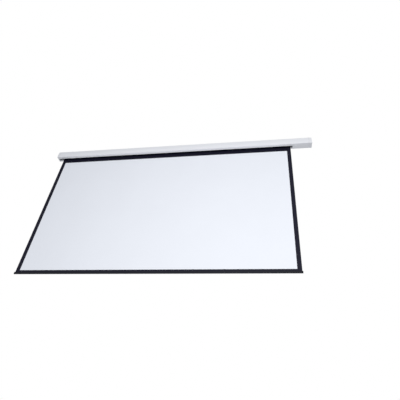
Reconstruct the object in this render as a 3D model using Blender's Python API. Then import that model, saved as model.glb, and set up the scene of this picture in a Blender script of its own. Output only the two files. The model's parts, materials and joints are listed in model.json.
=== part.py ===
"""Motorized projector screen, 100 inch wide format, fully lowered, hung on a wall.

Metres. +X is the viewer's right, -Y faces the room and +Z is up. The origin lies on the wall,
midway between the two brackets, at the height of their wall holes. Heights inside the housing
are rises above its underside.
"""

from math import acos, asin, atan2, ceil, cos, pi, radians, sin, sqrt, tan

import bmesh
import bpy
from mathutils import Vector

# Picture and fabric
PICTURE_WIDTH = 2.214
PICTURE_HEIGHT = 1.2454
BORDER_SIDE = 0.0345
PICTURE_DROP = 0.0345  # from the housing's underside to the picture's top edge
BORDER_BELOW = 0.017  # from the picture's bottom edge to the weight bar
FABRIC_THICKNESS = 0.0005
BORDER_FILM = 0.0002
FILM_BELOW_AXIS = 0.008  # top of the border's black, below the roller's axis
ROLLED_PITCH = 0.00045  # growth of the roll's radius for each turn wound up
TURNS_LEFT = 1.5

# Housing section, sized round the full roll
ROOM_BELOW_ROLL = 0.0146  # where the weight bar comes up
ROOM_OVER_ROLL = 0.003
ROOM_BEFORE_ROLL = 0.0049
CASE_WALL = 0.0016
SLOT_AHEAD = 0.030  # open slot in front of the fabric
SLOT_BEHIND = 0.006
BACK_LIP = 0.0035
FRONT_UPRIGHT = 0.033  # plumb lower band of the front
FRONT_LEAN = radians(6.5)
FRONT_CREASE_RADIUS = 0.05
CASE_TOP_RADIUS = 0.016
CASE_EDGE_RADIUS = 0.003
LIP_UPTURN = 0.006
WALL_GAP = 0.0005

# Housing length, beyond the idler plate and the control box
ROOM_AT_IDLER = 0.0044
ROOM_AT_BOX = 0.0151
CAP_LENGTH = 0.028
CAP_RIM = 0.002  # soft edge round a cap's outer face
CAP_FACE = 0.0025
TONGUE_REACH = 0.0035  # locating tongues of the caps, into the housing
TONGUE_ROOT = 0.010
TONGUE_FROM_PORT = 0.006  # from a port's middle to the tongue beside it
TONGUE_FOOT = 0.012
TONGUE_UNDER_BEND = 0.002
SLOT_PAST_LEFT = 0.036  # slot past the fabric's left edge, into the cap
SLOT_PAST_RIGHT = 0.018
NOTCH_HEIGHT = 0.006  # the slot's end in the left cap
COVER_HOOK = 0.0011  # how far the access cover snaps over the lips
COVER_LEG = 0.003
HOOK_RISE = 0.00075  # from a lip to the tip of the cover's hook over it

# Rail on top of the housing, and the screw ports in its corners
RAIL_INSET = 0.0255  # from the housing's back to the rail's middle
RAIL_MOUTH = 0.008
RAIL_WIDTH = 0.015
RAIL_DEPTH = 0.005
PORT_RADIUS = 0.0036
PORT_HOLE = 0.0018
PORT_DROP = 0.0044
PORT_STEM = 0.0016
PORT_GAP = radians(35)
PORT_FROM_FRONT = 0.008
PORT_FROM_BACK = 0.0075
PORT_FROM_RAIL = 0.018

# Roller
TUBE_WALL = 0.0015
TUBE_OVERLAP = 0.0085  # tube past the fabric's edge
GROOVE_RADIUS = 0.0012
GROOVE_LIP = 0.0009
GROOVE_MOUTH = 0.0012
GROOVE_WALL = 0.0011
GROOVE_AT = pi  # towards the room when the screen is down
PLUG_DEPTH = 0.030
PLUG_FLANGE = 0.0015
CROWN_SHORTER = 0.004  # the limit crown, than the idler plug
BUSH_LENGTH = 0.022
BUSH_WALL = 0.0027
PIN_RADIUS = 0.005
PIN_SQUARE = 0.007
PIN_HEAD = 0.0025
PIN_RIM = 0.002  # its head past the pin
PLATE_CLEARANCE = 0.001  # from the idler plug's flange to its plate

# Motor
MOTOR_RADIUS = 0.0175
MOTOR_ROOM = 0.0006  # between the motor and the tube's inner key
MOTOR_LENGTH = 0.420
MOTOR_CHAMFER = 0.002
HEAD_CHAMFER = 0.001
NECK_STEP = 0.0025  # the head's neck inside the crown, thinner than the motor
HEAD_FLANGE = 0.003
HEAD_INSET = 0.001  # the head's flange, inside the tube's outline
HEAD_SIDE = 0.034
HEAD_CORNER = 0.006
HEAD_LENGTH = 0.0345
STUD_SIDE = 0.010
STUD_CORNER = 0.0008
STUD_LENGTH = 0.0125
SHAFT_RADIUS = 0.005
SHAFT_LENGTH = 0.028
WHEEL_WIDTH = 0.020
WHEEL_HOLES = 6
WHEEL_HOLE = 0.0035
WHEEL_FROM_END = 0.002
SHAFT_SOCKET = 0.008  # the output shaft's end inside the motor's hub
HUB_RADIUS = 0.009
HUB_LENGTH = 0.003
CRIMP_WIDTH = 0.003  # ring grooves pressed into the motor's tube
CRIMP_DEPTH = 0.0006
CRIMPS = (0.055, 0.400)  # from the motor's inner end
LIMIT_SCREW_RADIUS = 0.0024
LIMIT_SCREW_LENGTH = 0.008
LIMIT_SCREW_FIRST = 0.012  # from the head's flange
LIMIT_SCREW_PITCH = 0.012
LIMIT_SOCKET = 0.0013
LIMIT_PROUD = 0.0013  # how far a limit screw stands out below the head

# Bracket plates at the roller's ends
PLATE_SHEET = 0.0025
PLATE_UNDER_PORTS = 0.0015
PLATE_OVER_BAR = 0.0015  # from the raised weight bar up to the plates
PLATE_FOOT_RADIUS = 0.002
PLATE_FRONT_RADIUS = 0.006
PLATE_BACK_RADIUS = 0.003
TAB_ROOT_RADIUS = 0.0012
TAB_WIDTH = 0.016
TAB_LENGTH = 0.014
TAB_SHEET = 0.002
VENT_RADIUS = 0.0035
VENT_ASIDE = 0.020
VENT_RISE = 0.0155
CABLE_HOLE = 0.005
LEAD_FROM_SIDE = 0.0055  # where the lead leaves the motor head, from the head's sides
LEAD_FROM_FOOT = 0.0045
STUD_GROOVE = 0.008  # the stud's width in its groove
CLIP_SHEET = 0.001
CLIP_RADIUS = 0.0085

# Control box in the motor end
BOX_LENGTH = 0.070
BOX_WIDTH = 0.040
BOX_HEIGHT = 0.032
BOX_WALL = 0.0016
BOX_CORNER = 0.003
BOX_AFTER_PLATE = 0.0295
LID_THICKNESS = 0.0018
BOARD_THICKNESS = 0.0016
POST_HEIGHT = 0.004
BOARD_FROM_END = 0.013
BOX_SCREW_FROM_END = 0.010
BOSS_RADIUS = 0.0036
BOSS_DEPTH = 0.008
POST_RADIUS = 0.0025
POST_FROM_EDGE = 0.0045  # from the board's end to a post's middle
POST_FROM_SIDE = 0.007
BOARD_ROOM = 0.0019  # between the board and the box's side
BOARD_CORNER = 0.001
LEAD_OVER_FOOT = 0.010  # the lead's way in, above the box's foot
RELAY = (0.019, 0.0155, 0.0115)
RELAY_AT = 0.022
RELAY_ASIDE = 0.001  # its near side, from the box's middle
RELAY_CORNER = 0.0006
TERMINALS = (0.008, 0.020, 0.010)
TERMINALS_FROM_END = 0.024
TERMINAL_WAYS = 4
TERMINAL_MOUTH = 0.0015
TERMINAL_MOUTH_DOWN = 0.6  # share of the block's height, below the board
CAPACITOR = (0.005, 0.012)
CAPACITOR_SHOULDER = 0.0008
CAPACITOR_AT = 0.030
CAPACITOR_ASIDE = 0.0095
LID_RIM = 0.0012
LID_RIM_HEIGHT = 0.0028
LEAD_RADIUS = 0.0022
LEAD_INSIDE = 0.002  # the lead's end past the box's wall
LEAD_STRAIGHT = 0.009  # straight lengths at the lead's two ends

# Weight bar
BAR_HEIGHT = 0.019
BAR_WALL = 0.0012
BAR_CORNER = 0.0032
BAR_MOUTH = 0.0016
MOUTH_EDGE = 0.0003  # small round on the mouth's lips
WEB_RADIUS = 0.0012  # where the walls meet the web under the hem
CHAMBER_RADIUS = 0.0008
BAR_OVERLAP = 0.0055  # bar past the fabric's edge, with its cap
BAR_CAP = 0.004
BAR_TONGUE = 0.012
HEM_ROD = 0.0018
HEM_ROOM = 0.0007
HEM_SWEEP = radians(320)  # how far the fabric goes round the rod

# Wall brackets
BRACKET_AT = 0.85
BRACKET_WIDTH = 0.045
BRACKET_SHEET = 0.003
BRACKET_FOOT = 0.042
BRACKET_RISE = 0.042
BRACKET_CORNER = 0.006
BRACKET_HOLE_RISE = 0.025  # from the housing's top to the wall holes
BRACKET_HOLE = 0.00325
BRACKET_HOLE_SPACING = 0.024
BOLT_SLIDE = 0.004  # how far the bolt can slide either way in the bracket's slot
BOLT_RADIUS = 0.003
NUT_HEIGHT = 0.0065
NUT_FLANGE = 0.0068
NUT_CORNER = 0.0058
NUT_RIM = 0.0007  # the flange's thickness at its rim
NUT_SLOPE = 0.0016  # and where it meets the hexagon
BOLT_PAST_NUT = 0.002
BOLT_HEAD_CORNER = 0.0015

# Screws
SCREW_RADIUS = 0.0015
SCREW_HEAD = 0.0032
SCREW_HEAD_HEIGHT = 0.0022
CAP_SCREW_BITE = 0.012  # how deep the cap screws go into the ports
TAB_SCREW_LENGTH = 0.0065
BOX_SCREW_LENGTH = 0.010
GROMMET_RADIUS = 0.0067
GROMMET_BORE = 0.004
GROMMET_LIP = 0.0022  # how far its flanges stand out past the hole
GROMMET_OUTSIDE = 0.0018  # the outer flange's thickness
GROMMET_INSIDE = 0.0017

GAP = 0.0003  # between pieces that touch
RUNNING_GAP = 0.0001
OVERLAP = 0.0005  # how far two shapes run into each other where they are fused
THROUGH = 0.005  # how far a cut runs past a face
EDGE = 0.0005  # small edge round
SHARP_FROM = radians(30)  # edges that turn more than this are shaded sharp

# Places that follow from the sizes
TRAVEL = PICTURE_DROP + PICTURE_HEIGHT + BORDER_BELOW + BAR_HEIGHT
GROOVE_KEY = GROOVE_RADIUS + GROOVE_WALL  # the key inside the tube, round the fabric groove
TUBE_RADIUS = MOTOR_RADIUS + MOTOR_ROOM + GROOVE_KEY + GROOVE_RADIUS + GROOVE_LIP
TUBE_BORE = TUBE_RADIUS - TUBE_WALL
GROOVE_CENTRE = TUBE_RADIUS - GROOVE_LIP - GROOVE_RADIUS
NECK_RADIUS = MOTOR_RADIUS - NECK_STEP
HEAD_RADIUS = TUBE_RADIUS - HEAD_INSET
TURN_PITCH = FABRIC_THICKNESS + GAP
HANG_RADIUS = TUBE_RADIUS + GAP + FABRIC_THICKNESS / 2 + TURNS_LEFT * TURN_PITCH
ROLLED_RADIUS = sqrt(HANG_RADIUS**2 + TRAVEL * ROLLED_PITCH / pi)
BAR_DEPTH = 2 * (HEM_ROD + GAP + FABRIC_THICKNESS + HEM_ROOM + BAR_WALL)

ROLLER_RISE = ROOM_BELOW_ROLL + ROLLED_RADIUS
CASE_HEIGHT = ROLLER_RISE + ROLLED_RADIUS + ROOM_OVER_ROLL + RAIL_DEPTH + 2 * CASE_WALL
RAIL_FLOOR = CASE_HEIGHT - CASE_WALL - RAIL_DEPTH
CASE_TOP_Z = -BRACKET_HOLE_RISE
CASE_BASE_Z = CASE_TOP_Z - CASE_HEIGHT
ROLLER_Z = CASE_BASE_Z + ROLLER_RISE
PICTURE_TOP_Z = CASE_BASE_Z - PICTURE_DROP
BAR_TOP_Z = PICTURE_TOP_Z - PICTURE_HEIGHT - BORDER_BELOW
BAR_Z = BAR_TOP_Z - BAR_HEIGHT / 2

BACK_Y = -WALL_GAP
FABRIC_Y = BACK_Y - BACK_LIP - SLOT_BEHIND
SLOT_BACK_Y = FABRIC_Y + SLOT_BEHIND
SLOT_FRONT_Y = FABRIC_Y - SLOT_AHEAD
ROLLER_Y = FABRIC_Y - HANG_RADIUS
FRONT_Y = ROLLER_Y - ROLLED_RADIUS - ROOM_BEFORE_ROLL
RAIL_Y = BACK_Y - RAIL_INSET

PORTS = (
    (RAIL_Y - PORT_FROM_RAIL, CASE_HEIGHT - CASE_WALL - PORT_DROP),
    (BACK_Y - PORT_FROM_BACK, CASE_HEIGHT - CASE_WALL - PORT_DROP),
    (FRONT_Y + PORT_FROM_FRONT, CASE_WALL + PORT_DROP),
)

FABRIC_HALF = PICTURE_WIDTH / 2 + BORDER_SIDE
BAR_END = FABRIC_HALF + BAR_OVERLAP
SLOT_LEFT = -FABRIC_HALF - SLOT_PAST_LEFT
SLOT_RIGHT = FABRIC_HALF + SLOT_PAST_RIGHT
TUBE_END = FABRIC_HALF + TUBE_OVERLAP
HEAD_X = TUBE_END + PLUG_FLANGE + 2 * GAP
MOTOR_PLATE_X = HEAD_X + HEAD_FLANGE + HEAD_LENGTH + GAP
IDLER_PLATE_X = -TUBE_END - PLUG_FLANGE - 2 * GAP - PLATE_CLEARANCE - PLATE_SHEET
BOX_X = MOTOR_PLATE_X + BOX_AFTER_PLATE
CASE_LEFT = IDLER_PLATE_X - ROOM_AT_IDLER - CAP_LENGTH
CASE_RIGHT = BOX_X + BOX_LENGTH + ROOM_AT_BOX + CAP_LENGTH
LEAD_Y = ROLLER_Y - HEAD_SIDE / 2 + LEAD_FROM_SIDE
LEAD_RISE = ROLLER_RISE - HEAD_SIDE / 2 + LEAD_FROM_FOOT
PLATE_FOOT = BAR_HEIGHT + PLATE_OVER_BAR
PLATE_TOP = PORTS[0][1] - PORT_RADIUS - PLATE_UNDER_PORTS
CAP_WALL = CASE_WALL + GAP + OVERLAP  # thick enough to carry the tongues inside the housing
TAB_TOP = RAIL_FLOOR - CASE_WALL - GAP
BOX_TOP = PORTS[0][1] - PORT_RADIUS - 2 * GAP

# Turns that lay a piece's own +Z along an axis of the object
ALONG_X = (pi / 2, 0, pi / 2)
ALONG_Z = (0, 0, 0)
TOWARDS_ROOM = (pi / 2, 0, 0)


def clear_scene():
    for thing in list(bpy.data.objects):
        bpy.data.objects.remove(thing, do_unlink=True)


def make_material(name, colour, roughness, metallic=0.0):
    made = bpy.data.materials.new(name)
    made.use_nodes = True
    shader = made.node_tree.nodes["Principled BSDF"]
    shader.inputs["Base Color"].default_value = (*colour, 1)
    shader.inputs["Roughness"].default_value = roughness
    shader.inputs["Metallic"].default_value = metallic
    return made


clear_scene()
WHITE_PAINT = make_material("white_paint", (0.83, 0.84, 0.86), 0.4)
WHITE_PLASTIC = make_material("white_plastic", (0.78, 0.79, 0.81), 0.5)
PICTURE_WHITE = make_material("picture_white", (0.87, 0.89, 0.93), 0.75)
BORDER_BLACK = make_material("border_black", (0.01, 0.01, 0.013), 0.8)
BAR_BLACK = make_material("bar_black", (0.015, 0.015, 0.018), 0.45)
BLACK_PLASTIC = make_material("black_plastic", (0.02, 0.02, 0.022), 0.5)
ALUMINIUM = make_material("mill_aluminium", (0.62, 0.63, 0.65), 0.35, 1.0)
ZINC_STEEL = make_material("zinc_steel", (0.55, 0.56, 0.58), 0.35, 1.0)
MOTOR_STEEL = make_material("motor_steel", (0.3, 0.31, 0.33), 0.4, 1.0)
GREY_PLASTIC = make_material("grey_plastic", (0.22, 0.23, 0.25), 0.5)
YELLOW_PLASTIC = make_material("yellow_plastic", (0.75, 0.55, 0.05), 0.45)
BOARD_GREEN = make_material("board_green", (0.02, 0.16, 0.07), 0.4)
RUBBER = make_material("rubber", (0.03, 0.03, 0.03), 0.75)


def arc(centre, radius, start, end, steps):
    """Points on a round, from one angle to another, both ends included."""
    return [
        (
            centre[0] + radius * cos(start + (end - start) * i / steps),
            centre[1] + radius * sin(start + (end - start) * i / steps),
        )
        for i in range(steps + 1)
    ]


def circle(radius, steps, centre=(0, 0), start=0.0):
    return arc(centre, radius, start, start + 2 * pi, steps)[:-1]


def rounded(corners, steps=5):
    """An outline through corners of (u, v, radius), each with its round."""
    points = []
    for i, (u, v, radius) in enumerate(corners):
        if not radius:
            points.append((u, v))
            continue
        here = Vector((u, v))
        back = (Vector(corners[i - 1][:2]) - here).normalized()
        ahead = (Vector(corners[(i + 1) % len(corners)][:2]) - here).normalized()
        half = back.angle(ahead) / 2
        middle = here + (back + ahead).normalized() * (radius / sin(half))
        first = here + back * (radius / tan(half)) - middle
        last = here + ahead * (radius / tan(half)) - middle
        start = atan2(first.y, first.x)
        turn = (atan2(last.y, last.x) - start + pi) % (2 * pi) - pi
        parts = max(2, round(steps * abs(turn) / (pi / 2)))
        points += arc(middle, radius, start, start + turn, parts)
    return points


def box_outline(low_u, high_u, low_v, high_v, radius=0.0):
    return rounded(
        [
            (low_u, low_v, radius),
            (high_u, low_v, radius),
            (high_u, high_v, radius),
            (low_u, high_v, radius),
        ],
        4,
    )


def ribbon(path, thickness):
    """The outline of a strip of even thickness that follows a path, square at both ends."""
    sides = ([], [])
    for i, (u, v) in enumerate(path):
        before = Vector(path[max(i - 1, 0)])
        after = Vector(path[min(i + 1, len(path) - 1)])
        here = Vector((u, v))
        arriving = (here - before).normalized() if i else (after - here).normalized()
        leaving = (after - here).normalized() if i < len(path) - 1 else arriving
        across = (arriving + leaving).normalized()
        reach = thickness / 2 / max(across.dot(arriving), 0.5)
        sides[0].append((u - across.y * reach, v + across.x * reach))
        sides[1].append((u + across.y * reach, v - across.x * reach))
    return sides[0] + sides[1][::-1]


def place(name, shape, material, location, turn=ALONG_Z, parent=None):
    """A finished object from a bmesh, shaded smooth except at its edges."""
    bmesh.ops.recalc_face_normals(shape, faces=shape.faces)
    mesh = bpy.data.meshes.new(name)
    shape.to_mesh(mesh)
    shape.free()
    mesh.shade_smooth()
    mesh.set_sharp_from_angle(angle=SHARP_FROM)
    if material:
        mesh.materials.append(material)
    made = bpy.data.objects.new(name, mesh)
    made.location = location
    made.rotation_euler = turn
    made.parent = parent
    bpy.context.scene.collection.objects.link(made)
    return made


def extruded(loops, length):
    """A prism on one or more closed outlines, the later ones holes in the first."""
    shape = bmesh.new()
    edges = []
    for loop in loops:
        corners = [shape.verts.new((u, v, 0)) for u, v in loop]
        for first, second in zip(corners, corners[1:] + corners[:1]):
            edges.append(shape.edges.new((first, second)))
    bmesh.ops.triangle_fill(shape, use_beauty=True, edges=edges)
    grown = bmesh.ops.extrude_face_region(shape, geom=shape.faces[:])["geom"]
    moved = [item for item in grown if isinstance(item, bmesh.types.BMVert)]
    bmesh.ops.translate(shape, vec=(0, 0, length), verts=moved)
    return shape


def turned(profile, steps=32):
    """A solid spun about +Z from points of (radius, height), closed round or from axis to axis."""
    shape = bmesh.new()
    corners = [shape.verts.new((radius, 0, height)) for radius, height in profile]
    pairs = list(zip(corners, corners[1:]))
    if profile[0][0] > 0:
        pairs.append((corners[-1], corners[0]))
    edges = [shape.edges.new(pair) for pair in pairs]
    bmesh.ops.spin(
        shape, geom=corners + edges, cent=(0, 0, 0), axis=(0, 0, 1), angle=2 * pi, steps=steps
    )
    bmesh.ops.remove_doubles(shape, verts=shape.verts, dist=1e-7)
    return shape


def cutter(name, shape, location, turn=ALONG_Z, parent=None):
    """A helper solid for a Boolean, left out of the model."""
    made = place(name, shape, None, location, turn, parent)
    made.hide_render = True
    made.display_type = "WIRE"
    return made


def combine(target, other, operation, solver="EXACT"):
    modifier = target.modifiers.new(other.name, "BOOLEAN")
    modifier.operation = operation
    modifier.solver = solver
    modifier.object = other


def cut(target, name, shape, location, turn=ALONG_Z, parent=None):
    combine(target, cutter(name, shape, location, turn, parent), "DIFFERENCE")


def fuse(target, name, shape, location, turn=ALONG_Z, parent=None):
    combine(target, cutter(name, shape, location, turn, parent), "UNION")


def axis_empty(name, location):
    made = bpy.data.objects.new(name, None)
    made.location = location
    bpy.context.scene.collection.objects.link(made)
    return made


# Housing


def front_y(rise, inset=0.0):
    """The housing's front at a rise, moved inwards by an inset."""
    leaning = max(rise - FRONT_UPRIGHT, 0) * tan(FRONT_LEAN)
    return FRONT_Y + inset + leaning


def screw_port(centre, turn):
    """One split round port on a stem. Turn 0 hangs it from a wall above, pi stands it on a wall."""
    stem = asin(PORT_STEM / 2 / PORT_RADIUS)
    root = [
        (centre[0] + side * cos(turn) * PORT_STEM / 2, centre[1] + cos(turn) * PORT_DROP)
        for side in (1, -1)
    ]
    outer = arc(centre, PORT_RADIUS, turn + pi / 2 - stem, turn - pi / 2 + PORT_GAP, 5)
    hole = arc(centre, PORT_HOLE, turn - pi / 2 + PORT_GAP, turn + 3 * pi / 2 - PORT_GAP, 10)
    back = arc(centre, PORT_RADIUS, turn + 3 * pi / 2 - PORT_GAP, turn + pi / 2 + stem, 5)
    return root[:1] + outer + hole + back + root[1:]


def case_outline():
    """The extrusion's section: one wall that runs round from lip to lip, with rail and ports."""
    inside = CASE_HEIGHT - CASE_WALL
    mouth = RAIL_MOUTH / 2
    half = RAIL_WIDTH / 2
    outer = [
        (SLOT_FRONT_Y, 0, EDGE),
        (FRONT_Y, 0, CASE_EDGE_RADIUS),
        (FRONT_Y, FRONT_UPRIGHT, FRONT_CREASE_RADIUS),
        (front_y(CASE_HEIGHT), CASE_HEIGHT, CASE_TOP_RADIUS),
        (RAIL_Y - mouth, CASE_HEIGHT, EDGE),
        (RAIL_Y - mouth, inside, 0),
        (RAIL_Y - half, inside, 0),
        (RAIL_Y - half, RAIL_FLOOR, 0),
        (RAIL_Y + half, RAIL_FLOOR, 0),
        (RAIL_Y + half, inside, 0),
        (RAIL_Y + mouth, inside, 0),
        (RAIL_Y + mouth, CASE_HEIGHT, EDGE),
        (BACK_Y, CASE_HEIGHT, CASE_EDGE_RADIUS),
        (BACK_Y, 0, CASE_EDGE_RADIUS),
        (SLOT_BACK_Y, 0, 0),
    ]
    rail_side = half + CASE_WALL
    under_rail = RAIL_FLOOR - CASE_WALL
    inner_round = CASE_EDGE_RADIUS - CASE_WALL
    back_wall = [
        (SLOT_BACK_Y, CASE_WALL, 0),
        (BACK_Y - CASE_WALL, CASE_WALL, EDGE),
        (BACK_Y - CASE_WALL, inside, inner_round),
    ]
    rail = [
        (RAIL_Y + rail_side, inside, 0),
        (RAIL_Y + rail_side, under_rail, EDGE),
        (RAIL_Y - rail_side, under_rail, EDGE),
        (RAIL_Y - rail_side, inside, 0),
    ]
    front = [
        (front_y(inside, CASE_WALL), inside, CASE_TOP_RADIUS - CASE_WALL),
        (front_y(0, CASE_WALL), FRONT_UPRIGHT, FRONT_CREASE_RADIUS - CASE_WALL),
        (FRONT_Y + CASE_WALL, CASE_WALL, inner_round),
    ]
    lip = [
        (SLOT_FRONT_Y - CASE_WALL, CASE_WALL, EDGE),
        (SLOT_FRONT_Y - CASE_WALL, LIP_UPTURN, EDGE),
        (SLOT_FRONT_Y, LIP_UPTURN, EDGE),
    ]
    ports = [
        [(y, z, 0) for y, z in screw_port(PORTS[1], 0)],
        [(y, z, 0) for y, z in screw_port(PORTS[0], 0)],
        [(y, z, 0) for y, z in screw_port(PORTS[2], pi)],
    ]
    return rounded(outer + back_wall + ports[0] + rail + ports[1] + front + ports[2] + lip)


def rail_screws():
    """Where screws go down through the rail's floor: a name for each and its place along X."""
    return {
        "idler_bracket_screw": IDLER_PLATE_X + TAB_LENGTH / 2,
        "motor_bracket_screw": MOTOR_PLATE_X + TAB_LENGTH / 2,
        "control_box_screw_left": BOX_X + BOX_SCREW_FROM_END,
        "control_box_screw_right": BOX_X + BOX_LENGTH - BOX_SCREW_FROM_END,
    }


def through_hole(radius, up, down, steps=12):
    """A plain round cutter along +Z, from down below height 0 to up above it."""
    return turned([(0, -down), (radius, -down), (radius, up), (0, up)], steps)


def self_tapper(length):
    """A pan head and a plain shank with a point, the head's seat at height 0."""
    return turned(
        [
            (0, SCREW_HEAD_HEIGHT),
            (SCREW_HEAD * 0.55, SCREW_HEAD_HEIGHT * 0.92),
            (SCREW_HEAD, SCREW_HEAD_HEIGHT * 0.45),
            (SCREW_HEAD, 0),
            (SCREW_RADIUS, 0),
            (SCREW_RADIUS, SCREW_RADIUS - length),
            (0, -length),
        ],
        10,
    )


def make_case():
    length = CASE_RIGHT - CASE_LEFT - 2 * CAP_LENGTH - 2 * GAP
    shell = place(
        "case_shell",
        extruded([case_outline()], length),
        WHITE_PAINT,
        (CASE_LEFT + CAP_LENGTH + GAP, 0, CASE_BASE_Z),
        ALONG_X,
    )
    for name, along in rail_screws().items():
        floor = CASE_BASE_Z + RAIL_FLOOR
        hole = through_hole(SCREW_RADIUS + GAP, THROUGH / 2, CASE_WALL + THROUGH / 2)
        tool = cutter(name + "_hole", hole, (along, RAIL_Y, floor))
        # the shell's faces are metres long and millimetres wide, which EXACT leaves open
        combine(shell, tool, "DIFFERENCE", "MANIFOLD")
        screw = self_tapper(BOX_SCREW_LENGTH if "box" in name else TAB_SCREW_LENGTH)
        place(name, screw, ZINC_STEEL, (along, RAIL_Y, floor + GAP))


def cap_corners(inset):
    """The closed outer section of an end cap, drawn in by an inset."""
    edge = max(CASE_EDGE_RADIUS - inset, EDGE)
    return [
        (BACK_Y - inset, inset, edge),
        (FRONT_Y + inset, inset, edge),
        (FRONT_Y + inset, FRONT_UPRIGHT, FRONT_CREASE_RADIUS - inset),
        (front_y(CASE_HEIGHT - inset, inset), CASE_HEIGHT - inset, CASE_TOP_RADIUS - inset),
        (BACK_Y - inset, CASE_HEIGHT - inset, edge),
    ]


def lofted(sections):
    """A closed solid through outlines of (points, height) that have the same number of points."""
    shape = bmesh.new()
    rings = [[shape.verts.new((u, v, height)) for u, v in points] for points, height in sections]
    for ring in (rings[0], rings[-1]):
        shape.faces.new(ring)
    for low, high in zip(rings, rings[1:]):
        for i, corner in enumerate(low):
            after = (i + 1) % len(low)
            shape.faces.new((corner, low[after], high[after], high[i]))
    return shape


def end_cap_shape():
    """A moulded cap with its open end at height 0 and a soft rim round its outer face."""
    steps = 3
    sections = [(rounded(cap_corners(0)), 0)]
    for i in range(steps + 1):
        angle = pi / 2 * i / steps
        inset = CAP_RIM * (1 - cos(angle))
        height = CAP_LENGTH - CAP_RIM + CAP_RIM * sin(angle)
        sections.append((rounded(cap_corners(inset)), height))
    return lofted(sections)


def make_end_cap(side):
    """side is 'left' or 'right'. The cap's own +Z points out of the housing."""
    right = side == "right"
    open_end = CASE_RIGHT - CAP_LENGTH if right else CASE_LEFT + CAP_LENGTH
    shape = end_cap_shape()
    if not right:
        bmesh.ops.scale(shape, vec=(1, 1, -1), verts=shape.verts)
    sign = 1 if right else -1
    here = (open_end, 0, CASE_BASE_Z)
    cap = place(f"end_cap_{side}", shape, WHITE_PLASTIC, here, ALONG_X)
    depth = CAP_LENGTH - CAP_FACE
    hollow = extruded([rounded(cap_corners(CAP_WALL))], depth + THROUGH)
    start = open_end - THROUGH if right else open_end - depth
    cut(cap, f"cap_hollow_{side}", hollow, (start, 0, CASE_BASE_Z), ALONG_X)
    for number, (y, rise) in enumerate(PORTS, 1):
        tower = extruded([circle(PORT_RADIUS, 16, (y, rise))], depth + OVERLAP)
        low = min(open_end, open_end + sign * (depth + OVERLAP))
        fuse(cap, f"cap_tower_{side}_{number}", tower, (low, 0, CASE_BASE_Z), ALONG_X)
    front = FRONT_Y + CASE_WALL + GAP
    back = BACK_Y - CASE_WALL - GAP - CAP_WALL
    low = min(open_end - sign * TONGUE_REACH, open_end + sign * TONGUE_ROOT)
    tongues = {
        "front": (front, PORTS[2][1] + TONGUE_FROM_PORT, FRONT_UPRIGHT - TONGUE_UNDER_BEND),
        "back": (back, TONGUE_FOOT, PORTS[1][1] - TONGUE_FROM_PORT),
    }
    for name, (y, foot, top) in tongues.items():
        tongue = extruded([box_outline(y, y + CAP_WALL, foot, top)], TONGUE_REACH + TONGUE_ROOT)
        fuse(cap, f"cap_tongue_{name}_{side}", tongue, (low, 0, CASE_BASE_Z), ALONG_X)
    for number, (y, rise) in enumerate(PORTS, 1):
        hole = extruded([circle(SCREW_RADIUS + GAP, 12, (y, rise))], CAP_LENGTH + 2 * THROUGH)
        low = min(open_end, open_end + sign * CAP_LENGTH) - THROUGH
        cut(cap, f"cap_hole_{side}_{number}", hole, (low, 0, CASE_BASE_Z), ALONG_X)
        screw = self_tapper(CAP_LENGTH + CAP_SCREW_BITE)
        out_turn = ALONG_X if right else (pi / 2, 0, -pi / 2)
        outer = open_end + sign * (CAP_LENGTH + GAP)
        at = (outer, y, CASE_BASE_Z + rise)
        place(f"cap_screw_{side}_{number}", screw, ZINC_STEEL, at, out_turn)
    if right:
        make_grommet(cap)
    else:
        outline = box_outline(SLOT_FRONT_Y, SLOT_BACK_Y, -THROUGH, NOTCH_HEIGHT)
        notch = extruded([outline], CAP_LENGTH)
        cut(cap, "cap_slot_notch", notch, (SLOT_LEFT, 0, CASE_BASE_Z), ALONG_X)


def make_grommet(cap):
    """A rubber grommet for the supply, in a hole through the right cap's face."""
    at = (CASE_RIGHT, ROLLER_Y, ROLLER_Z)
    hole = through_hole(GROMMET_RADIUS + GAP, THROUGH, CAP_FACE + THROUGH, 24)
    cut(cap, "grommet_hole", hole, at, ALONG_X)
    flange = GROMMET_RADIUS + GROMMET_LIP
    back = -CAP_FACE - GAP - GROMMET_INSIDE
    soft = GROMMET_OUTSIDE / 2
    ring = turned(
        [
            (GROMMET_BORE, GROMMET_OUTSIDE - GAP),
            (flange - soft, GROMMET_OUTSIDE),
            (flange, GROMMET_OUTSIDE - soft),
            (flange, GAP),
            (GROMMET_RADIUS, GAP),
            (GROMMET_RADIUS, -CAP_FACE - GAP),
            (flange, -CAP_FACE - GAP),
            (flange, back),
            (GROMMET_BORE, back),
        ],
        20,
    )
    place("cable_grommet", ring, RUBBER, at, ALONG_X)


def make_access_cover():
    """The snap-in cover that closes the open underside below the motor head and the wiring."""
    front = SLOT_FRONT_Y + GAP
    back = SLOT_BACK_Y - GAP
    back_leg = CASE_WALL + COVER_LEG
    front_leg = LIP_UPTURN + COVER_LEG - GAP
    outline = [
        (front, 0),
        (back, 0),
        (back, CASE_WALL + GAP),
        (back + COVER_HOOK, CASE_WALL + HOOK_RISE),
        (back, back_leg),
        (back - CASE_WALL, back_leg),
        (back - CASE_WALL, CASE_WALL),
        (front + CASE_WALL, CASE_WALL),
        (front + CASE_WALL, front_leg),
        (front, front_leg),
        (front - COVER_HOOK, LIP_UPTURN + HOOK_RISE),
        (front, LIP_UPTURN + GAP),
    ]
    length = CASE_RIGHT - CAP_LENGTH - GAP - SLOT_RIGHT
    at = (SLOT_RIGHT, 0, CASE_BASE_Z)
    place("access_cover", extruded([outline], length), WHITE_PLASTIC, at, ALONG_X)


# Roller


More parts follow.
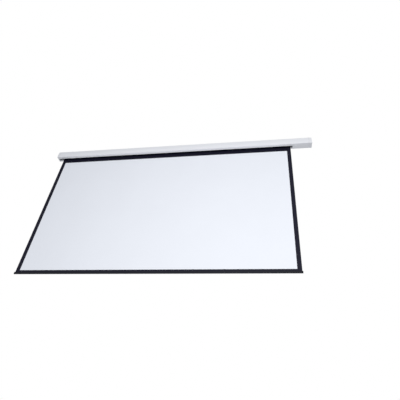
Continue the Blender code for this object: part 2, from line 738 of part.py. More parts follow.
def keyed_circle(radius, key):
    """A circle that a round key of this radius, centred on the fabric groove, bites into."""
    reach = (radius**2 + GROOVE_CENTRE**2 - key**2) / (2 * radius * GROOVE_CENTRE)
    away = acos(reach)
    around = arc((0, 0), radius, GROOVE_AT + away, GROOVE_AT + 2 * pi - away, 36)
    centre = (GROOVE_CENTRE * cos(GROOVE_AT), GROOVE_CENTRE * sin(GROOVE_AT))
    edge = around[-1]
    inward = GROOVE_AT + pi
    swing = atan2(edge[1] - centre[1], edge[0] - centre[0]) - inward
    swing = (swing + pi) % (2 * pi) - pi
    bite = arc(centre, key, inward + swing, inward - swing, 8)
    return around + bite[1:-1]


def tube_outline():
    """The tube's outside, with the mouth and the round seat of the fabric groove."""
    half = GROOVE_MOUTH / 2
    away = asin(half / TUBE_RADIUS)
    around = arc((0, 0), TUBE_RADIUS, GROOVE_AT + away, GROOVE_AT + 2 * pi - away, 48)
    centre = (GROOVE_CENTRE * cos(GROOVE_AT), GROOVE_CENTRE * sin(GROOVE_AT))
    side = asin(half / GROOVE_RADIUS)
    seat = arc(centre, GROOVE_RADIUS, GROOVE_AT - side, GROOVE_AT - 2 * pi + side, 12)
    return around + seat


def wound_path():
    """The fabric's middle line on the tube, from the groove out to where it leaves at the back."""
    parts = ceil(TURNS_LEFT * 40)
    start = GROOVE_CENTRE + GROOVE_RADIUS
    leg = [(start * cos(GROOVE_AT), start * sin(GROOVE_AT))]
    spiral = []
    for i in range(parts + 1):
        angle = TURNS_LEFT * 2 * pi * (1 - i / parts)
        radius = HANG_RADIUS - TURN_PITCH * angle / (2 * pi)
        spiral.append((radius * cos(angle), radius * sin(angle)))
    return leg + spiral


def make_roller():
    axis = axis_empty("roller_axis", (0, ROLLER_Y, ROLLER_Z))

    def on_axis(name, shape, material, along):
        return place(name, shape, material, (along, 0, 0), ALONG_X, axis)

    tube = [tube_outline(), keyed_circle(TUBE_BORE, GROOVE_KEY)]
    on_axis("roller_tube", extruded(tube, 2 * TUBE_END), ALUMINIUM, -TUBE_END)
    turns = extruded([ribbon(wound_path(), FABRIC_THICKNESS)], 2 * FABRIC_HALF)
    on_axis("fabric_turns", turns, BORDER_BLACK, -FABRIC_HALF)
    seat = (GROOVE_CENTRE * cos(GROOVE_AT), GROOVE_CENTRE * sin(GROOVE_AT))
    rod = extruded([circle(GROOVE_RADIUS - GAP, 12, seat)], 2 * FABRIC_HALF)
    on_axis("fabric_spline", rod, BLACK_PLASTIC, -FABRIC_HALF)

    plug = TUBE_BORE - GAP
    key = GROOVE_KEY + GAP
    flange = TUBE_END + GAP
    bush = PIN_RADIUS + RUNNING_GAP + BUSH_WALL
    body = extruded([keyed_circle(plug, key), circle(bush + GAP, 24)], PLUG_DEPTH)
    idler = on_axis("idler_plug", body, BLACK_PLASTIC, -flange - OVERLAP)
    rim = extruded([circle(TUBE_RADIUS, 36), circle(bush + GAP, 24)], PLUG_FLANGE)
    fuse(idler, "idler_plug_rim", rim, (-flange - PLUG_FLANGE, 0, 0), ALONG_X, axis)
    ring = [circle(bush, 24), circle(PIN_RADIUS + RUNNING_GAP, 24)]
    on_axis("idler_bush", extruded(ring, BUSH_LENGTH), WHITE_PLASTIC, -TUBE_END - PLUG_FLANGE)

    depth = PLUG_DEPTH - CROWN_SHORTER
    body = extruded([keyed_circle(plug, key), circle(NECK_RADIUS + GAP, 28)], depth)
    crown = on_axis("limit_crown", body, BLACK_PLASTIC, flange + OVERLAP - depth)
    rim = extruded([circle(TUBE_RADIUS, 36), circle(NECK_RADIUS + GAP, 28)], PLUG_FLANGE)
    fuse(crown, "limit_crown_rim", rim, (flange, 0, 0), ALONG_X, axis)

    motor_x = TUBE_END - PLUG_DEPTH - MOTOR_LENGTH
    shaft_x = motor_x - SHAFT_LENGTH
    hexagon = [circle(SHAFT_RADIUS, 6)]
    on_axis("output_shaft", extruded(hexagon, SHAFT_LENGTH), ZINC_STEEL, shaft_x)
    wheel = [keyed_circle(plug, key), circle(SHAFT_RADIUS + 2 * GAP, 6)]
    ring = (SHAFT_RADIUS + plug - GROOVE_WALL) / 2
    for number in range(WHEEL_HOLES):
        angle = 2 * pi * number / WHEEL_HOLES
        wheel.append(circle(WHEEL_HOLE, 10, (ring * cos(angle), ring * sin(angle))))
    on_axis("drive_wheel", extruded(wheel, WHEEL_WIDTH), BLACK_PLASTIC, shaft_x + WHEEL_FROM_END)


# Motor, its bracket plates and the limit screws


def make_motor():
    start = TUBE_END - PLUG_DEPTH - MOTOR_LENGTH
    end = MOTOR_LENGTH - GAP
    socket = SHAFT_RADIUS + 2 * GAP
    chamfer = MOTOR_CHAMFER
    profile = [(0, SHAFT_SOCKET), (socket, SHAFT_SOCKET), (socket, -HUB_LENGTH)]
    profile += [(HUB_RADIUS, -HUB_LENGTH), (HUB_RADIUS, 0)]
    profile += [(MOTOR_RADIUS - chamfer, 0), (MOTOR_RADIUS, chamfer)]
    for ring in CRIMPS:
        profile.append((MOTOR_RADIUS, ring))
        profile.append((MOTOR_RADIUS - CRIMP_DEPTH, ring + CRIMP_WIDTH / 2))
        profile.append((MOTOR_RADIUS, ring + CRIMP_WIDTH))
    profile += [(MOTOR_RADIUS, end - EDGE), (MOTOR_RADIUS - EDGE, end), (0, end)]
    at = (start, ROLLER_Y, ROLLER_Z)
    place("motor_body", turned(profile, 24), MOTOR_STEEL, at, ALONG_X)


def make_motor_head():
    """Neck inside the crown, flange, square head with the limit screws, and the square stud."""
    chamfer = HEAD_CHAMFER
    start = TUBE_END - PLUG_DEPTH
    neck = HEAD_X - start
    profile = [
        (0, 0),
        (NECK_RADIUS, 0),
        (NECK_RADIUS, neck),
        (HEAD_RADIUS, neck),
        (HEAD_RADIUS, neck + HEAD_FLANGE - chamfer),
        (HEAD_RADIUS - chamfer, neck + HEAD_FLANGE),
        (0, neck + HEAD_FLANGE),
    ]
    at = (start, ROLLER_Y, ROLLER_Z)
    head = place("motor_head", turned(profile, 28), BLACK_PLASTIC, at, ALONG_X)
    half = HEAD_SIDE / 2
    outline = box_outline(-half, half, -half, half, HEAD_CORNER)
    block = extruded([outline], HEAD_LENGTH + OVERLAP)
    block_x = HEAD_X + HEAD_FLANGE - OVERLAP
    fuse(head, "motor_head_block", block, (block_x, ROLLER_Y, ROLLER_Z), ALONG_X)
    half = STUD_SIDE / 2
    outline = box_outline(-half, half, -half, half, STUD_CORNER)
    stud = extruded([outline], STUD_LENGTH + OVERLAP)
    stud_x = HEAD_X + HEAD_FLANGE + HEAD_LENGTH - OVERLAP
    fuse(head, "motor_head_stud", stud, (stud_x, ROLLER_Y, ROLLER_Z), ALONG_X)
    clip_x = MOTOR_PLATE_X + PLATE_SHEET + GAP
    flat = STUD_GROOVE / 2
    kept = box_outline(-flat, flat, -half - EDGE, half + EDGE)
    groove = extruded([circle(STUD_SIDE, 24), kept], CLIP_SHEET + 2 * GAP)
    cut(head, "stud_groove", groove, (clip_x - GAP, ROLLER_Y, ROLLER_Z), ALONG_X)
    for number, name in enumerate(("upper_limit_screw", "lower_limit_screw")):
        along = HEAD_X + HEAD_FLANGE + LIMIT_SCREW_FIRST + number * LIMIT_SCREW_PITCH
        foot = ROLLER_Z - HEAD_SIDE / 2
        pocket = through_hole(LIMIT_SCREW_RADIUS + GAP, LIMIT_SCREW_LENGTH + GAP, THROUGH, 18)
        cut(head, name + "_pocket", pocket, (along, ROLLER_Y, foot))
        make_limit_screw(name, (along, ROLLER_Y, foot))


def make_limit_screw(name, at):
    """A plastic adjusting screw with a six-sided socket in its lower end."""
    proud = LIMIT_PROUD
    body = turned(
        [
            (0, LIMIT_SCREW_LENGTH),
            (LIMIT_SCREW_RADIUS - EDGE, LIMIT_SCREW_LENGTH),
            (LIMIT_SCREW_RADIUS, LIMIT_SCREW_LENGTH - EDGE),
            (LIMIT_SCREW_RADIUS, EDGE - proud),
            (LIMIT_SCREW_RADIUS - EDGE, -proud),
            (0, -proud),
        ],
        18,
    )
    material = YELLOW_PLASTIC if name.startswith("upper") else WHITE_PLASTIC
    screw = place(name, body, material, at)
    socket = extruded([circle(LIMIT_SOCKET, 6)], LIMIT_SCREW_LENGTH / 2 + THROUGH)
    cut(screw, name + "_socket", socket, (at[0], at[1], at[2] - THROUGH))


def plate_outline():
    """A plate that fills the housing's section between the ports, the lips and the rail."""
    side = CASE_WALL + 2 * GAP
    neck = TAB_WIDTH / 2
    return rounded(
        [
            (BACK_Y - side, PLATE_FOOT, PLATE_FOOT_RADIUS),
            (FRONT_Y + side, PLATE_FOOT, PLATE_FOOT_RADIUS),
            (FRONT_Y + side, FRONT_UPRIGHT, FRONT_CREASE_RADIUS),
            (front_y(PLATE_TOP, side), PLATE_TOP, PLATE_FRONT_RADIUS),
            (RAIL_Y - neck, PLATE_TOP, TAB_ROOT_RADIUS),
            (RAIL_Y - neck, TAB_TOP, 0),
            (RAIL_Y + neck, TAB_TOP, 0),
            (RAIL_Y + neck, PLATE_TOP, TAB_ROOT_RADIUS),
            (BACK_Y - side, PLATE_TOP, PLATE_BACK_RADIUS),
        ]
    )


def make_plate(name, along, opening, extra_holes):
    """A bracket plate with its bent tab, screwed up to the rail's floor."""
    half = opening / 2 + GAP
    square = [
        (ROLLER_Y + u, ROLLER_RISE + v) for u, v in box_outline(-half, half, -half, half, STUD_CORNER)
    ]
    holes = [circle(radius, 12, centre) for centre, radius in extra_holes]
    here = (along, 0, CASE_BASE_Z)
    loops = [plate_outline(), square] + holes
    plate = place(name, extruded(loops, PLATE_SHEET), ZINC_STEEL, here, ALONG_X)
    neck = TAB_WIDTH / 2
    low = TAB_TOP - TAB_SHEET
    tab = extruded([box_outline(RAIL_Y - neck, RAIL_Y + neck, low, TAB_TOP)], TAB_LENGTH)
    fuse(plate, name + "_tab", tab, here, ALONG_X)
    hole = through_hole(SCREW_RADIUS + GAP, THROUGH, THROUGH)
    screw_x = along + TAB_LENGTH / 2
    cut(plate, name + "_screw_hole", hole, (screw_x, RAIL_Y, CASE_BASE_Z + TAB_TOP))


def make_clip(name, along, flat):
    """A spring clip pushed up over a square stud, with flat as the stud's width in its groove."""
    slot = flat / 2 + GAP
    opening = asin(slot / CLIP_RADIUS)
    top = STUD_SIDE / 2 + GAP
    around = arc((0, 0), CLIP_RADIUS, -pi / 2 + opening, 3 * pi / 2 - opening, 28)
    outline = around + [(-slot, top), (slot, top)]
    at = (along, ROLLER_Y, ROLLER_Z)
    place(name, extruded([outline], CLIP_SHEET), ZINC_STEEL, at, ALONG_X)


def make_bracket_plates():
    vents = [
        ((ROLLER_Y + u * VENT_ASIDE, ROLLER_RISE + v * VENT_RISE), VENT_RADIUS)
        for u in (-1, 1)
        for v in (-1, 1)
    ]
    make_plate("idler_bracket", IDLER_PLATE_X, PIN_SQUARE, vents)
    wiring = [((LEAD_Y, LEAD_RISE), CABLE_HOLE)] + vents[1:]
    make_plate("motor_bracket", MOTOR_PLATE_X, STUD_SIDE, wiring)
    make_clip("motor_clip", MOTOR_PLATE_X + PLATE_SHEET + GAP, STUD_GROOVE)


def make_idler_pin():
    """A round pin in the bush, with a square end through the plate and a head behind it."""
    start = IDLER_PLATE_X - GAP
    shoulder = IDLER_PLATE_X + PLATE_SHEET + GAP
    end = -TUBE_END - PLUG_FLANGE + BUSH_LENGTH - THROUGH / 2
    at = (start - PIN_HEAD, ROLLER_Y, ROLLER_Z)
    length = end - at[0]
    seat = shoulder - at[0]
    profile = [
        (0, seat),
        (PIN_RADIUS, seat),
        (PIN_RADIUS, length - 2 * EDGE),
        (PIN_RADIUS - 2 * EDGE, length),
        (0, length),
    ]
    pin = place("idler_pin", turned(profile, 20), ZINC_STEEL, at, ALONG_X)
    half = PIN_SQUARE / 2
    square = extruded([box_outline(-half, half, -half, half, STUD_CORNER)], seat + OVERLAP)
    fuse(pin, "idler_pin_square", square, at, ALONG_X)
    rim = PIN_RADIUS + PIN_RIM
    profile = [(0, 0), (rim - EDGE, 0), (rim, EDGE), (rim, PIN_HEAD), (0, PIN_HEAD)]
    fuse(pin, "idler_pin_head", turned(profile, 20), at, ALONG_X)


# Control box


def box_footprint(inset, radius):
    """The control box's outline from its left end, drawn in by an inset."""
    half = BOX_WIDTH / 2 - inset
    return box_outline(inset, BOX_LENGTH - inset, RAIL_Y - half, RAIL_Y + half, radius)


def make_control_box():
    middle = RAIL_Y
    foot = BOX_TOP - BOX_HEIGHT
    base = place(
        "control_box_base",
        extruded([box_footprint(0, BOX_CORNER)], BOX_HEIGHT),
        GREY_PLASTIC,
        (BOX_X, 0, CASE_BASE_Z + foot),
    )
    room = box_footprint(BOX_WALL, BOX_CORNER - BOX_WALL)
    hollow = extruded([room], BOX_HEIGHT - BOX_WALL + THROUGH)
    cut(base, "box_hollow", hollow, (BOX_X, 0, CASE_BASE_Z + foot - THROUGH))
    ceiling = CASE_BASE_Z + BOX_TOP - BOX_WALL
    for number, (u, v) in enumerate(post_places(), 1):
        profile = [(0, OVERLAP), (POST_RADIUS + EDGE, OVERLAP)]
        profile += [(POST_RADIUS, -POST_HEIGHT), (0, -POST_HEIGHT)]
        fuse(base, f"board_post_{number}", turned(profile, 12), (BOX_X + u, middle + v, ceiling))
    for name, along in rail_screws().items():
        if "box" not in name:
            continue
        pad = TAB_TOP - BOX_TOP + BOX_WALL
        boss = through_hole(BOSS_RADIUS, pad, BOSS_DEPTH)
        fuse(base, name + "_boss", boss, (along, middle, ceiling))
        hole = through_hole(SCREW_RADIUS + GAP, pad + THROUGH, BOSS_DEPTH - EDGE)
        cut(base, name + "_pilot", hole, (along, middle, ceiling))
    entry = extruded([circle(LEAD_RADIUS + GAP, 14)], 2 * THROUGH)
    cut(base, "lead_entry", entry, (BOX_X - THROUGH, *lead_entry_place()), ALONG_X)
    outlet = extruded([circle(GROMMET_BORE, 14)], 2 * THROUGH)
    outlet_at = (BOX_X + BOX_LENGTH - THROUGH, middle, lead_entry_place()[1])
    cut(base, "supply_outlet", outlet, outlet_at, ALONG_X)
    make_box_lid(foot)
    make_board(middle, ceiling)


def post_places():
    """The board's four posts, from the box's left end and from its middle line."""
    from_end = BOARD_FROM_END + POST_FROM_EDGE
    aside = BOX_WIDTH / 2 - POST_FROM_SIDE
    return [(u, v) for u in (from_end, BOX_LENGTH - from_end) for v in (-aside, aside)]


def lead_entry_place():
    return (RAIL_Y - BOX_WIDTH / 4, CASE_BASE_Z + BOX_TOP - BOX_HEIGHT + LEAD_OVER_FOOT)


def make_box_lid(foot):
    """A lid whose rim snaps into the box."""
    seat = CASE_BASE_Z + foot - GAP
    outline = box_footprint(0, BOX_CORNER)
    lid = place(
        "control_box_lid",
        extruded([outline], LID_THICKNESS),
        GREY_PLASTIC,
        (BOX_X, 0, seat - LID_THICKNESS),
    )
    rim = BOX_WALL + GAP
    inner = BOX_CORNER - BOX_WALL
    ring = [box_footprint(rim, inner), box_footprint(rim + LID_RIM, inner / 2)]
    fuse(lid, "lid_rim", extruded(ring, LID_RIM_HEIGHT + OVERLAP), (BOX_X, 0, seat - OVERLAP))


def make_board(middle, ceiling):
    top = ceiling - POST_HEIGHT - GAP
    bottom = top - BOARD_THICKNESS
    half = BOX_WIDTH / 2 - BOX_WALL - BOARD_ROOM
    far = BOX_LENGTH - BOARD_FROM_END
    outline = box_outline(BOARD_FROM_END, far, middle - half, middle + half, BOARD_CORNER)
    board = extruded([outline], BOARD_THICKNESS)
    made = place("circuit_board", board, BOARD_GREEN, (BOX_X, 0, bottom))
    for name, along in rail_screws().items():
        if "box" in name:
            hole = through_hole(BOSS_RADIUS + 2 * GAP, THROUGH, THROUGH)
            cut(made, name + "_clearance", hole, (along, middle, bottom))
    under = bottom - GAP
    long, wide, tall = RELAY
    relay = extruded([box_outline(0, long, 0, wide, RELAY_CORNER)], tall)
    place("relay", relay, BLACK_PLASTIC, (BOX_X + RELAY_AT, middle - RELAY_ASIDE, under - tall))
    long, wide, tall = TERMINALS
    block = extruded([box_outline(0, long, 0, wide)], tall)
    block_at = (BOX_X + BOX_LENGTH - TERMINALS_FROM_END, middle - wide / 2, under - tall)
    terminals = place("terminal_block", block, BLACK_PLASTIC, block_at)
    pitch = wide / TERMINAL_WAYS
    for number in range(TERMINAL_WAYS):
        mouth = extruded([circle(TERMINAL_MOUTH, 12)], THROUGH)
        across = block_at[1] + (number + 0.5) * pitch
        spot = (block_at[0] + long / 2, across, under - TERMINAL_MOUTH_DOWN * tall)
        cut(terminals, f"terminal_mouth_{number + 1}", mouth, spot, ALONG_X)
    radius, tall = CAPACITOR
    round_from = radius - CAPACITOR_SHOULDER
    can = [(0, 0), (round_from, 0), (radius, CAPACITOR_SHOULDER), (radius, tall), (0, tall)]
    can_at = (BOX_X + CAPACITOR_AT, middle - CAPACITOR_ASIDE, under - tall)
    place("capacitor", turned(can, 24), MOTOR_STEEL, can_at)


def smooth_route(points, parts):
    """A curve through the route's own points, with even steps between each pair."""
    ends = [2 * points[0] - points[1]] + points + [2 * points[-1] - points[-2]]
    path = []
    for a, b, c, d in zip(ends, ends[1:], ends[2:], ends[3:]):
        for i in range(parts):
            t = i / parts
            bend = 2 * a - 5 * b + 4 * c - d
            twist = 3 * b - a - 3 * c + d
            path.append((2 * b + (c - a) * t + bend * t * t + twist * t**3) / 2)
    return path + [points[-1]]


def make_motor_lead():
    """The lead from the motor head, through its plate, to the control box."""
    exit_y = LEAD_Y
    exit_z = CASE_BASE_Z + LEAD_RISE
    entry_y, entry_z = lead_entry_place()
    start = HEAD_X + HEAD_FLANGE + HEAD_LENGTH + GAP
    end = BOX_X + BOX_WALL + LEAD_INSIDE
    route = [
        Vector((start, exit_y, exit_z)),
        Vector((start + LEAD_STRAIGHT, exit_y, exit_z)),
        Vector((start + 2 * LEAD_STRAIGHT, (exit_y + entry_y) / 2, (exit_z + entry_z) / 2)),
        Vector((end - LEAD_STRAIGHT, entry_y, entry_z)),
        Vector((end - LEAD_STRAIGHT / 2, entry_y, entry_z)),
        Vector((end, entry_y, entry_z)),
    ]
    line = bpy.data.curves.new("motor_lead", "CURVE")
    line.dimensions = "3D"
    line.bevel_depth = LEAD_RADIUS
    line.bevel_resolution = 2
    line.use_fill_caps = True
    line.materials.append(RUBBER)
    points = smooth_route(route, 3)
    spline = line.splines.new("POLY")
    spline.points.add(len(points) - 1)
    for target, point in zip(spline.points, points):
        target.co = (*point, 1)
    spline.use_smooth = True
    bpy.context.scene.collection.objects.link(bpy.data.objects.new("motor_lead", line))


# Screen and weight bar


def make_screen():
    top = ROLLER_Z - GAP
    foot = BAR_TOP_Z + GAP
    half = FABRIC_THICKNESS / 2
    sheet = extruded([box_outline(-half, half, foot - top, 0)], 2 * FABRIC_HALF)
    place("screen_fabric", sheet, PICTURE_WHITE, (-FABRIC_HALF, FABRIC_Y, top), ALONG_X)
    film_top = ROLLER_Z - FILM_BELOW_AXIS
    picture = box_outline(
        -PICTURE_WIDTH / 2, PICTURE_WIDTH / 2, PICTURE_TOP_Z - PICTURE_HEIGHT, PICTURE_TOP_Z
    )
    film = extruded([box_outline(-FABRIC_HALF, FABRIC_HALF, foot, film_top), picture], BORDER_FILM)
    at = (0, FABRIC_Y - half - GAP, 0)
    place("black_border", film, BORDER_BLACK, at, TOWARDS_ROOM)


def bar_corners(inset):
    half = BAR_DEPTH / 2 - inset
    tall = BAR_HEIGHT / 2 - inset
    radius = max(BAR_CORNER - inset, EDGE)
    return [(-half, -tall, radius), (half, -tall, radius), (half, tall, radius), (-half, tall, radius)]


def hem_centre():
    return BAR_HEIGHT / 2 - BAR_WALL - 2 * GAP - FABRIC_THICKNESS - HEM_ROD


def bar_web():
    """The top of the web that carries the hem."""
    return hem_centre() - HEM_ROD - FABRIC_THICKNESS - 2 * GAP


def bar_section():
    """The bar's wall with its mouth at the top, and a closed chamber below the hem."""
    mouth = BAR_MOUTH / 2
    half = BAR_DEPTH / 2
    tall = BAR_HEIGHT / 2
    inner = half - BAR_WALL
    radius = min(BAR_CORNER - BAR_WALL, inner - mouth - EDGE)
    web = bar_web()
    wall = rounded(
        [
            (mouth, tall, MOUTH_EDGE),
            (mouth, tall - BAR_WALL, MOUTH_EDGE),
            (inner, tall - BAR_WALL, radius),
            (inner, web, WEB_RADIUS),
            (-inner, web, WEB_RADIUS),
            (-inner, tall - BAR_WALL, radius),
            (-mouth, tall - BAR_WALL, MOUTH_EDGE),
            (-mouth, tall, MOUTH_EDGE),
            (-half, tall, BAR_CORNER),
            (-half, -tall, BAR_CORNER),
            (half, -tall, BAR_CORNER),
            (half, tall, BAR_CORNER),
        ]
    )
    return [wall, chamber(web - BAR_WALL, 0)]


def chamber(top, inset):
    """The closed room in the bar's foot, which the end caps' tongues plug."""
    inner = BAR_DEPTH / 2 - BAR_WALL - inset
    floor = BAR_WALL + inset - BAR_HEIGHT / 2
    low = BAR_CORNER - BAR_WALL - inset
    return rounded(
        [
            (-inner, floor, low),
            (inner, floor, low),
            (inner, top - inset, CHAMBER_RADIUS),
            (-inner, top - inset, CHAMBER_RADIUS),
        ]
    )


def hem_path():
    """The fabric's middle line in the bar: down through the mouth and round the rod."""
    radius = HEM_ROD + GAP + FABRIC_THICKNESS / 2
    centre = (0, hem_centre())
    loop = arc(centre, radius, pi / 2, pi / 2 - HEM_SWEEP, 20)
    return [(0, BAR_HEIGHT / 2)] + loop


def bar_cap_shape():
    """An end cap with rounded rim, its face outwards along +Z."""
    steps = 3
    sections = [(rounded(bar_corners(0)), 0)]
    for i in range(steps + 1):
        angle = pi / 2 * i / steps
        inset = BAR_WALL * (1 - cos(angle))
        sections.append((rounded(bar_corners(inset)), BAR_CAP - BAR_WALL * (1 - sin(angle))))
    return lofted(sections)


def make_weight_bar():
    line = axis_empty("bar_centre", (0, FABRIC_Y, BAR_Z))

    def on_bar(name, shape, material, along):
        return place(name, shape, material, (along, 0, 0), ALONG_X, line)

    body_end = BAR_END - BAR_CAP - GAP
    on_bar("weight_bar", extruded(bar_section(), 2 * body_end), BAR_BLACK, -body_end)
    hem = extruded([ribbon(hem_path(), FABRIC_THICKNESS)], 2 * FABRIC_HALF)
    on_bar("fabric_hem", hem, BORDER_BLACK, -FABRIC_HALF)
    rod = extruded([circle(HEM_ROD, 16, (0, hem_centre()))], 2 * FABRIC_HALF)
    on_bar("hem_rod", rod, ZINC_STEEL, -FABRIC_HALF)
    for side, sign in (("left", -1), ("right", 1)):
        shape = bar_cap_shape()
        if sign < 0:
            bmesh.ops.scale(shape, vec=(1, 1, -1), verts=shape.verts)
        cap = on_bar(f"bar_cap_{side}", shape, BLACK_PLASTIC, sign * (BAR_END - BAR_CAP))
        tongue = extruded([chamber(bar_web() - BAR_WALL, GAP)], BAR_TONGUE + OVERLAP)
        low = min(sign * (BAR_END - BAR_CAP - BAR_TONGUE), sign * (BAR_END - BAR_CAP + OVERLAP))
        fuse(cap, f"bar_tongue_{side}", tongue, (low, 0, 0), ALONG_X, line)


# Wall brackets


def bracket_shape():
    """An angle of bent sheet, its foot on the housing's rail and its back on the wall."""
    foot = GAP
    sheet = BRACKET_SHEET
    outline = rounded(
        [
            (-BRACKET_FOOT, foot, 0),
            (0, foot, sheet * 1.5),
            (0, BRACKET_RISE, 0),
            (-sheet, BRACKET_RISE, 0),
            (-sheet, foot + sheet, sheet / 2),
            (-BRACKET_FOOT, foot + sheet, 0),
        ],
        6,
    )
    shape = extruded([outline], BRACKET_WIDTH)
    free = []
    for edge in shape.edges:
        first, second = (vert.co for vert in edge.verts)
        on_foot = max(first.x, second.x) < -BRACKET_FOOT + EDGE
        on_top = min(first.y, second.y) > BRACKET_RISE - EDGE
        if abs(first.z - second.z) < EDGE and (on_foot or on_top):
            free.append(edge)
    bmesh.ops.bevel(
        shape, geom=free, offset=BRACKET_CORNER, segments=4, profile=0.5, affect="EDGES"
    )
    return shape


def make_wall_bracket(side, along):
    left = along - BRACKET_WIDTH / 2
    bracket = place(
        f"wall_bracket_{side}", bracket_shape(), ZINC_STEEL, (left, 0, CASE_TOP_Z), ALONG_X
    )
    for number, offset in enumerate((-BRACKET_HOLE_SPACING / 2, BRACKET_HOLE_SPACING / 2), 1):
        hole = extruded([circle(BRACKET_HOLE, 24)], BRACKET_SHEET + 2 * THROUGH)
        at = (along + offset, THROUGH, 0)
        cut(bracket, f"wall_hole_{side}_{number}", hole, at, TOWARDS_ROOM)
    radius = BOLT_RADIUS + GAP
    near = arc((0, BOLT_SLIDE), radius, 0, pi, 10)
    far = arc((0, -BOLT_SLIDE), radius, pi, 2 * pi, 10)
    slot = extruded([near + far], BRACKET_SHEET + 2 * THROUGH)
    cut(bracket, f"bolt_slot_{side}", slot, (along, RAIL_Y, CASE_TOP_Z - THROUGH))
    make_rail_bolt(side, along)


def make_rail_bolt(side, along):
    """A T-head bolt held in the rail, with its flange nut on the bracket's foot."""
    lip = CASE_TOP_Z - CASE_WALL
    head_height = RAIL_DEPTH - 4 * GAP
    narrow = RAIL_MOUTH / 2 - GAP
    wide = RAIL_WIDTH / 2 - 2 * GAP
    head = extruded([box_outline(-narrow, narrow, -wide, wide, BOLT_HEAD_CORNER)], head_height)
    at = (along, RAIL_Y, lip - GAP - head_height)
    bolt = place(f"rail_bolt_{side}", head, ZINC_STEEL, at)
    seat = CASE_TOP_Z + 2 * GAP + BRACKET_SHEET
    tip = seat + NUT_HEIGHT + BOLT_PAST_NUT - at[2]
    profile = [(0, OVERLAP), (BOLT_RADIUS, OVERLAP), (BOLT_RADIUS, tip - EDGE)]
    profile += [(BOLT_RADIUS - EDGE, tip), (0, tip)]
    fuse(bolt, f"bolt_shank_{side}", turned(profile, 18), at)
    bore = BOLT_RADIUS + GAP
    top = NUT_SLOPE
    profile = [(bore, 0), (NUT_FLANGE, 0), (NUT_FLANGE, NUT_RIM), (NUT_FLANGE - top, top), (bore, top)]
    nut = place(f"rail_nut_{side}", turned(profile, 18), ZINC_STEEL, (along, RAIL_Y, seat))
    hexagon = extruded([circle(NUT_CORNER, 6), circle(bore, 18)], NUT_HEIGHT - top + OVERLAP)
    fuse(nut, f"nut_hexagon_{side}", hexagon, (along, RAIL_Y, seat + top - OVERLAP))


def apply_booleans():
    """Makes each Boolean's result the piece's own mesh, with the edges that it cut sharp."""
    graph = bpy.context.evaluated_depsgraph_get()
    shaped = [thing for thing in bpy.data.objects if thing.modifiers]
    meshes = [bpy.data.meshes.new_from_object(thing.evaluated_get(graph)) for thing in shaped]
    for thing, mesh in zip(shaped, meshes):
        thing.modifiers.clear()
        thing.data = mesh
        mesh.set_sharp_from_angle(angle=SHARP_FROM)
    for thing in list(bpy.data.objects):
        if thing.hide_render:
            bpy.data.objects.remove(thing, do_unlink=True)


make_case()
make_end_cap("left")
make_end_cap("right")
make_access_cover()
make_roller()
make_motor()
make_motor_head()
make_bracket_plates()
make_idler_pin()
make_control_box()
make_motor_lead()
make_screen()
make_weight_bar()
make_wall_bracket("left", -BRACKET_AT)
make_wall_bracket("right", BRACKET_AT)
apply_booleans()

turns = (ROLLED_RADIUS - HANG_RADIUS) / ROLLED_PITCH
print(f"travel {TRAVEL:.4f} m, {turns:.2f} turns, {turns * 2 * pi / TRAVEL:.4f} rad per m")
print(f"roll when up {ROLLED_RADIUS:.5f} m, roller at y {ROLLER_Y:.5f} z {ROLLER_Z:.5f}")
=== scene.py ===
# %% [markdown]
# A motorized projector screen, let all the way down and seen from well below. A long white
# housing holds a roller with a motor inside it. The picture cloth hangs from the back of the
# roller, out of a slot in the housing's underside, and a black weight bar keeps it flat.
#
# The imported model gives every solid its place, in metres. This lesson gives each of them its
# finish, replaces the cloth with real cloth, and rounds off what a camera can come close to.

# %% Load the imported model
import json
from math import ceil, cos, hypot, pi, radians, sin

import bpy
from mathutils import Matrix, Vector

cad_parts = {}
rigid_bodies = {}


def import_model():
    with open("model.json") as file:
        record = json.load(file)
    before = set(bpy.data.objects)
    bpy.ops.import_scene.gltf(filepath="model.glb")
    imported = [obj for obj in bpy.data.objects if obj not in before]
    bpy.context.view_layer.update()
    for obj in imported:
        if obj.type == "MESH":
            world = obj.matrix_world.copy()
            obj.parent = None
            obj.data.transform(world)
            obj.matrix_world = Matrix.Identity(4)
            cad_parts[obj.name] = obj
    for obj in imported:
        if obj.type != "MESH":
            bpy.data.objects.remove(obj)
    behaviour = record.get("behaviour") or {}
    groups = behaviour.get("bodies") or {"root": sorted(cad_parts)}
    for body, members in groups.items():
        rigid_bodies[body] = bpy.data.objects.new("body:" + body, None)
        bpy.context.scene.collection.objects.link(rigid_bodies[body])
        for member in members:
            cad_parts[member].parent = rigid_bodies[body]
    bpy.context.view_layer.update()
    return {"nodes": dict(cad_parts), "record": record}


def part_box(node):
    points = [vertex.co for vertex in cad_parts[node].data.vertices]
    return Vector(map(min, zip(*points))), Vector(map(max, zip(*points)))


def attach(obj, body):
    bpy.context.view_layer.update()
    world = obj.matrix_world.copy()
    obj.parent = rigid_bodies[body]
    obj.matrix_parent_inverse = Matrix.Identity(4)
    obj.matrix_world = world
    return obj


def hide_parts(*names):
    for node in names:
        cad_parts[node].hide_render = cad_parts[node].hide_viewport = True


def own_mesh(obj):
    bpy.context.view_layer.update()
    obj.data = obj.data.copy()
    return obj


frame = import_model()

nodes = frame["nodes"]
record = frame["record"]
bodies = record["behaviour"]["bodies"]
body_of_node = {node: body for body, held in bodies.items() for node in held}
slot_of_node = {part["node"]: part["material_slot"] for part in record["subparts"]}
print("solids:", len(nodes), "bodies:", len(bodies))

# %% [markdown]
# The camera comes first, because it decides what matters. The photographer stood to the right of
# the screen's middle, a little over two and a half metres in front of it, and held the camera far
# below the picture with its back tilted. A camera object looks along its own -Z with +Y up, so
# its turn is the matrix of three directions: right, up and backwards.

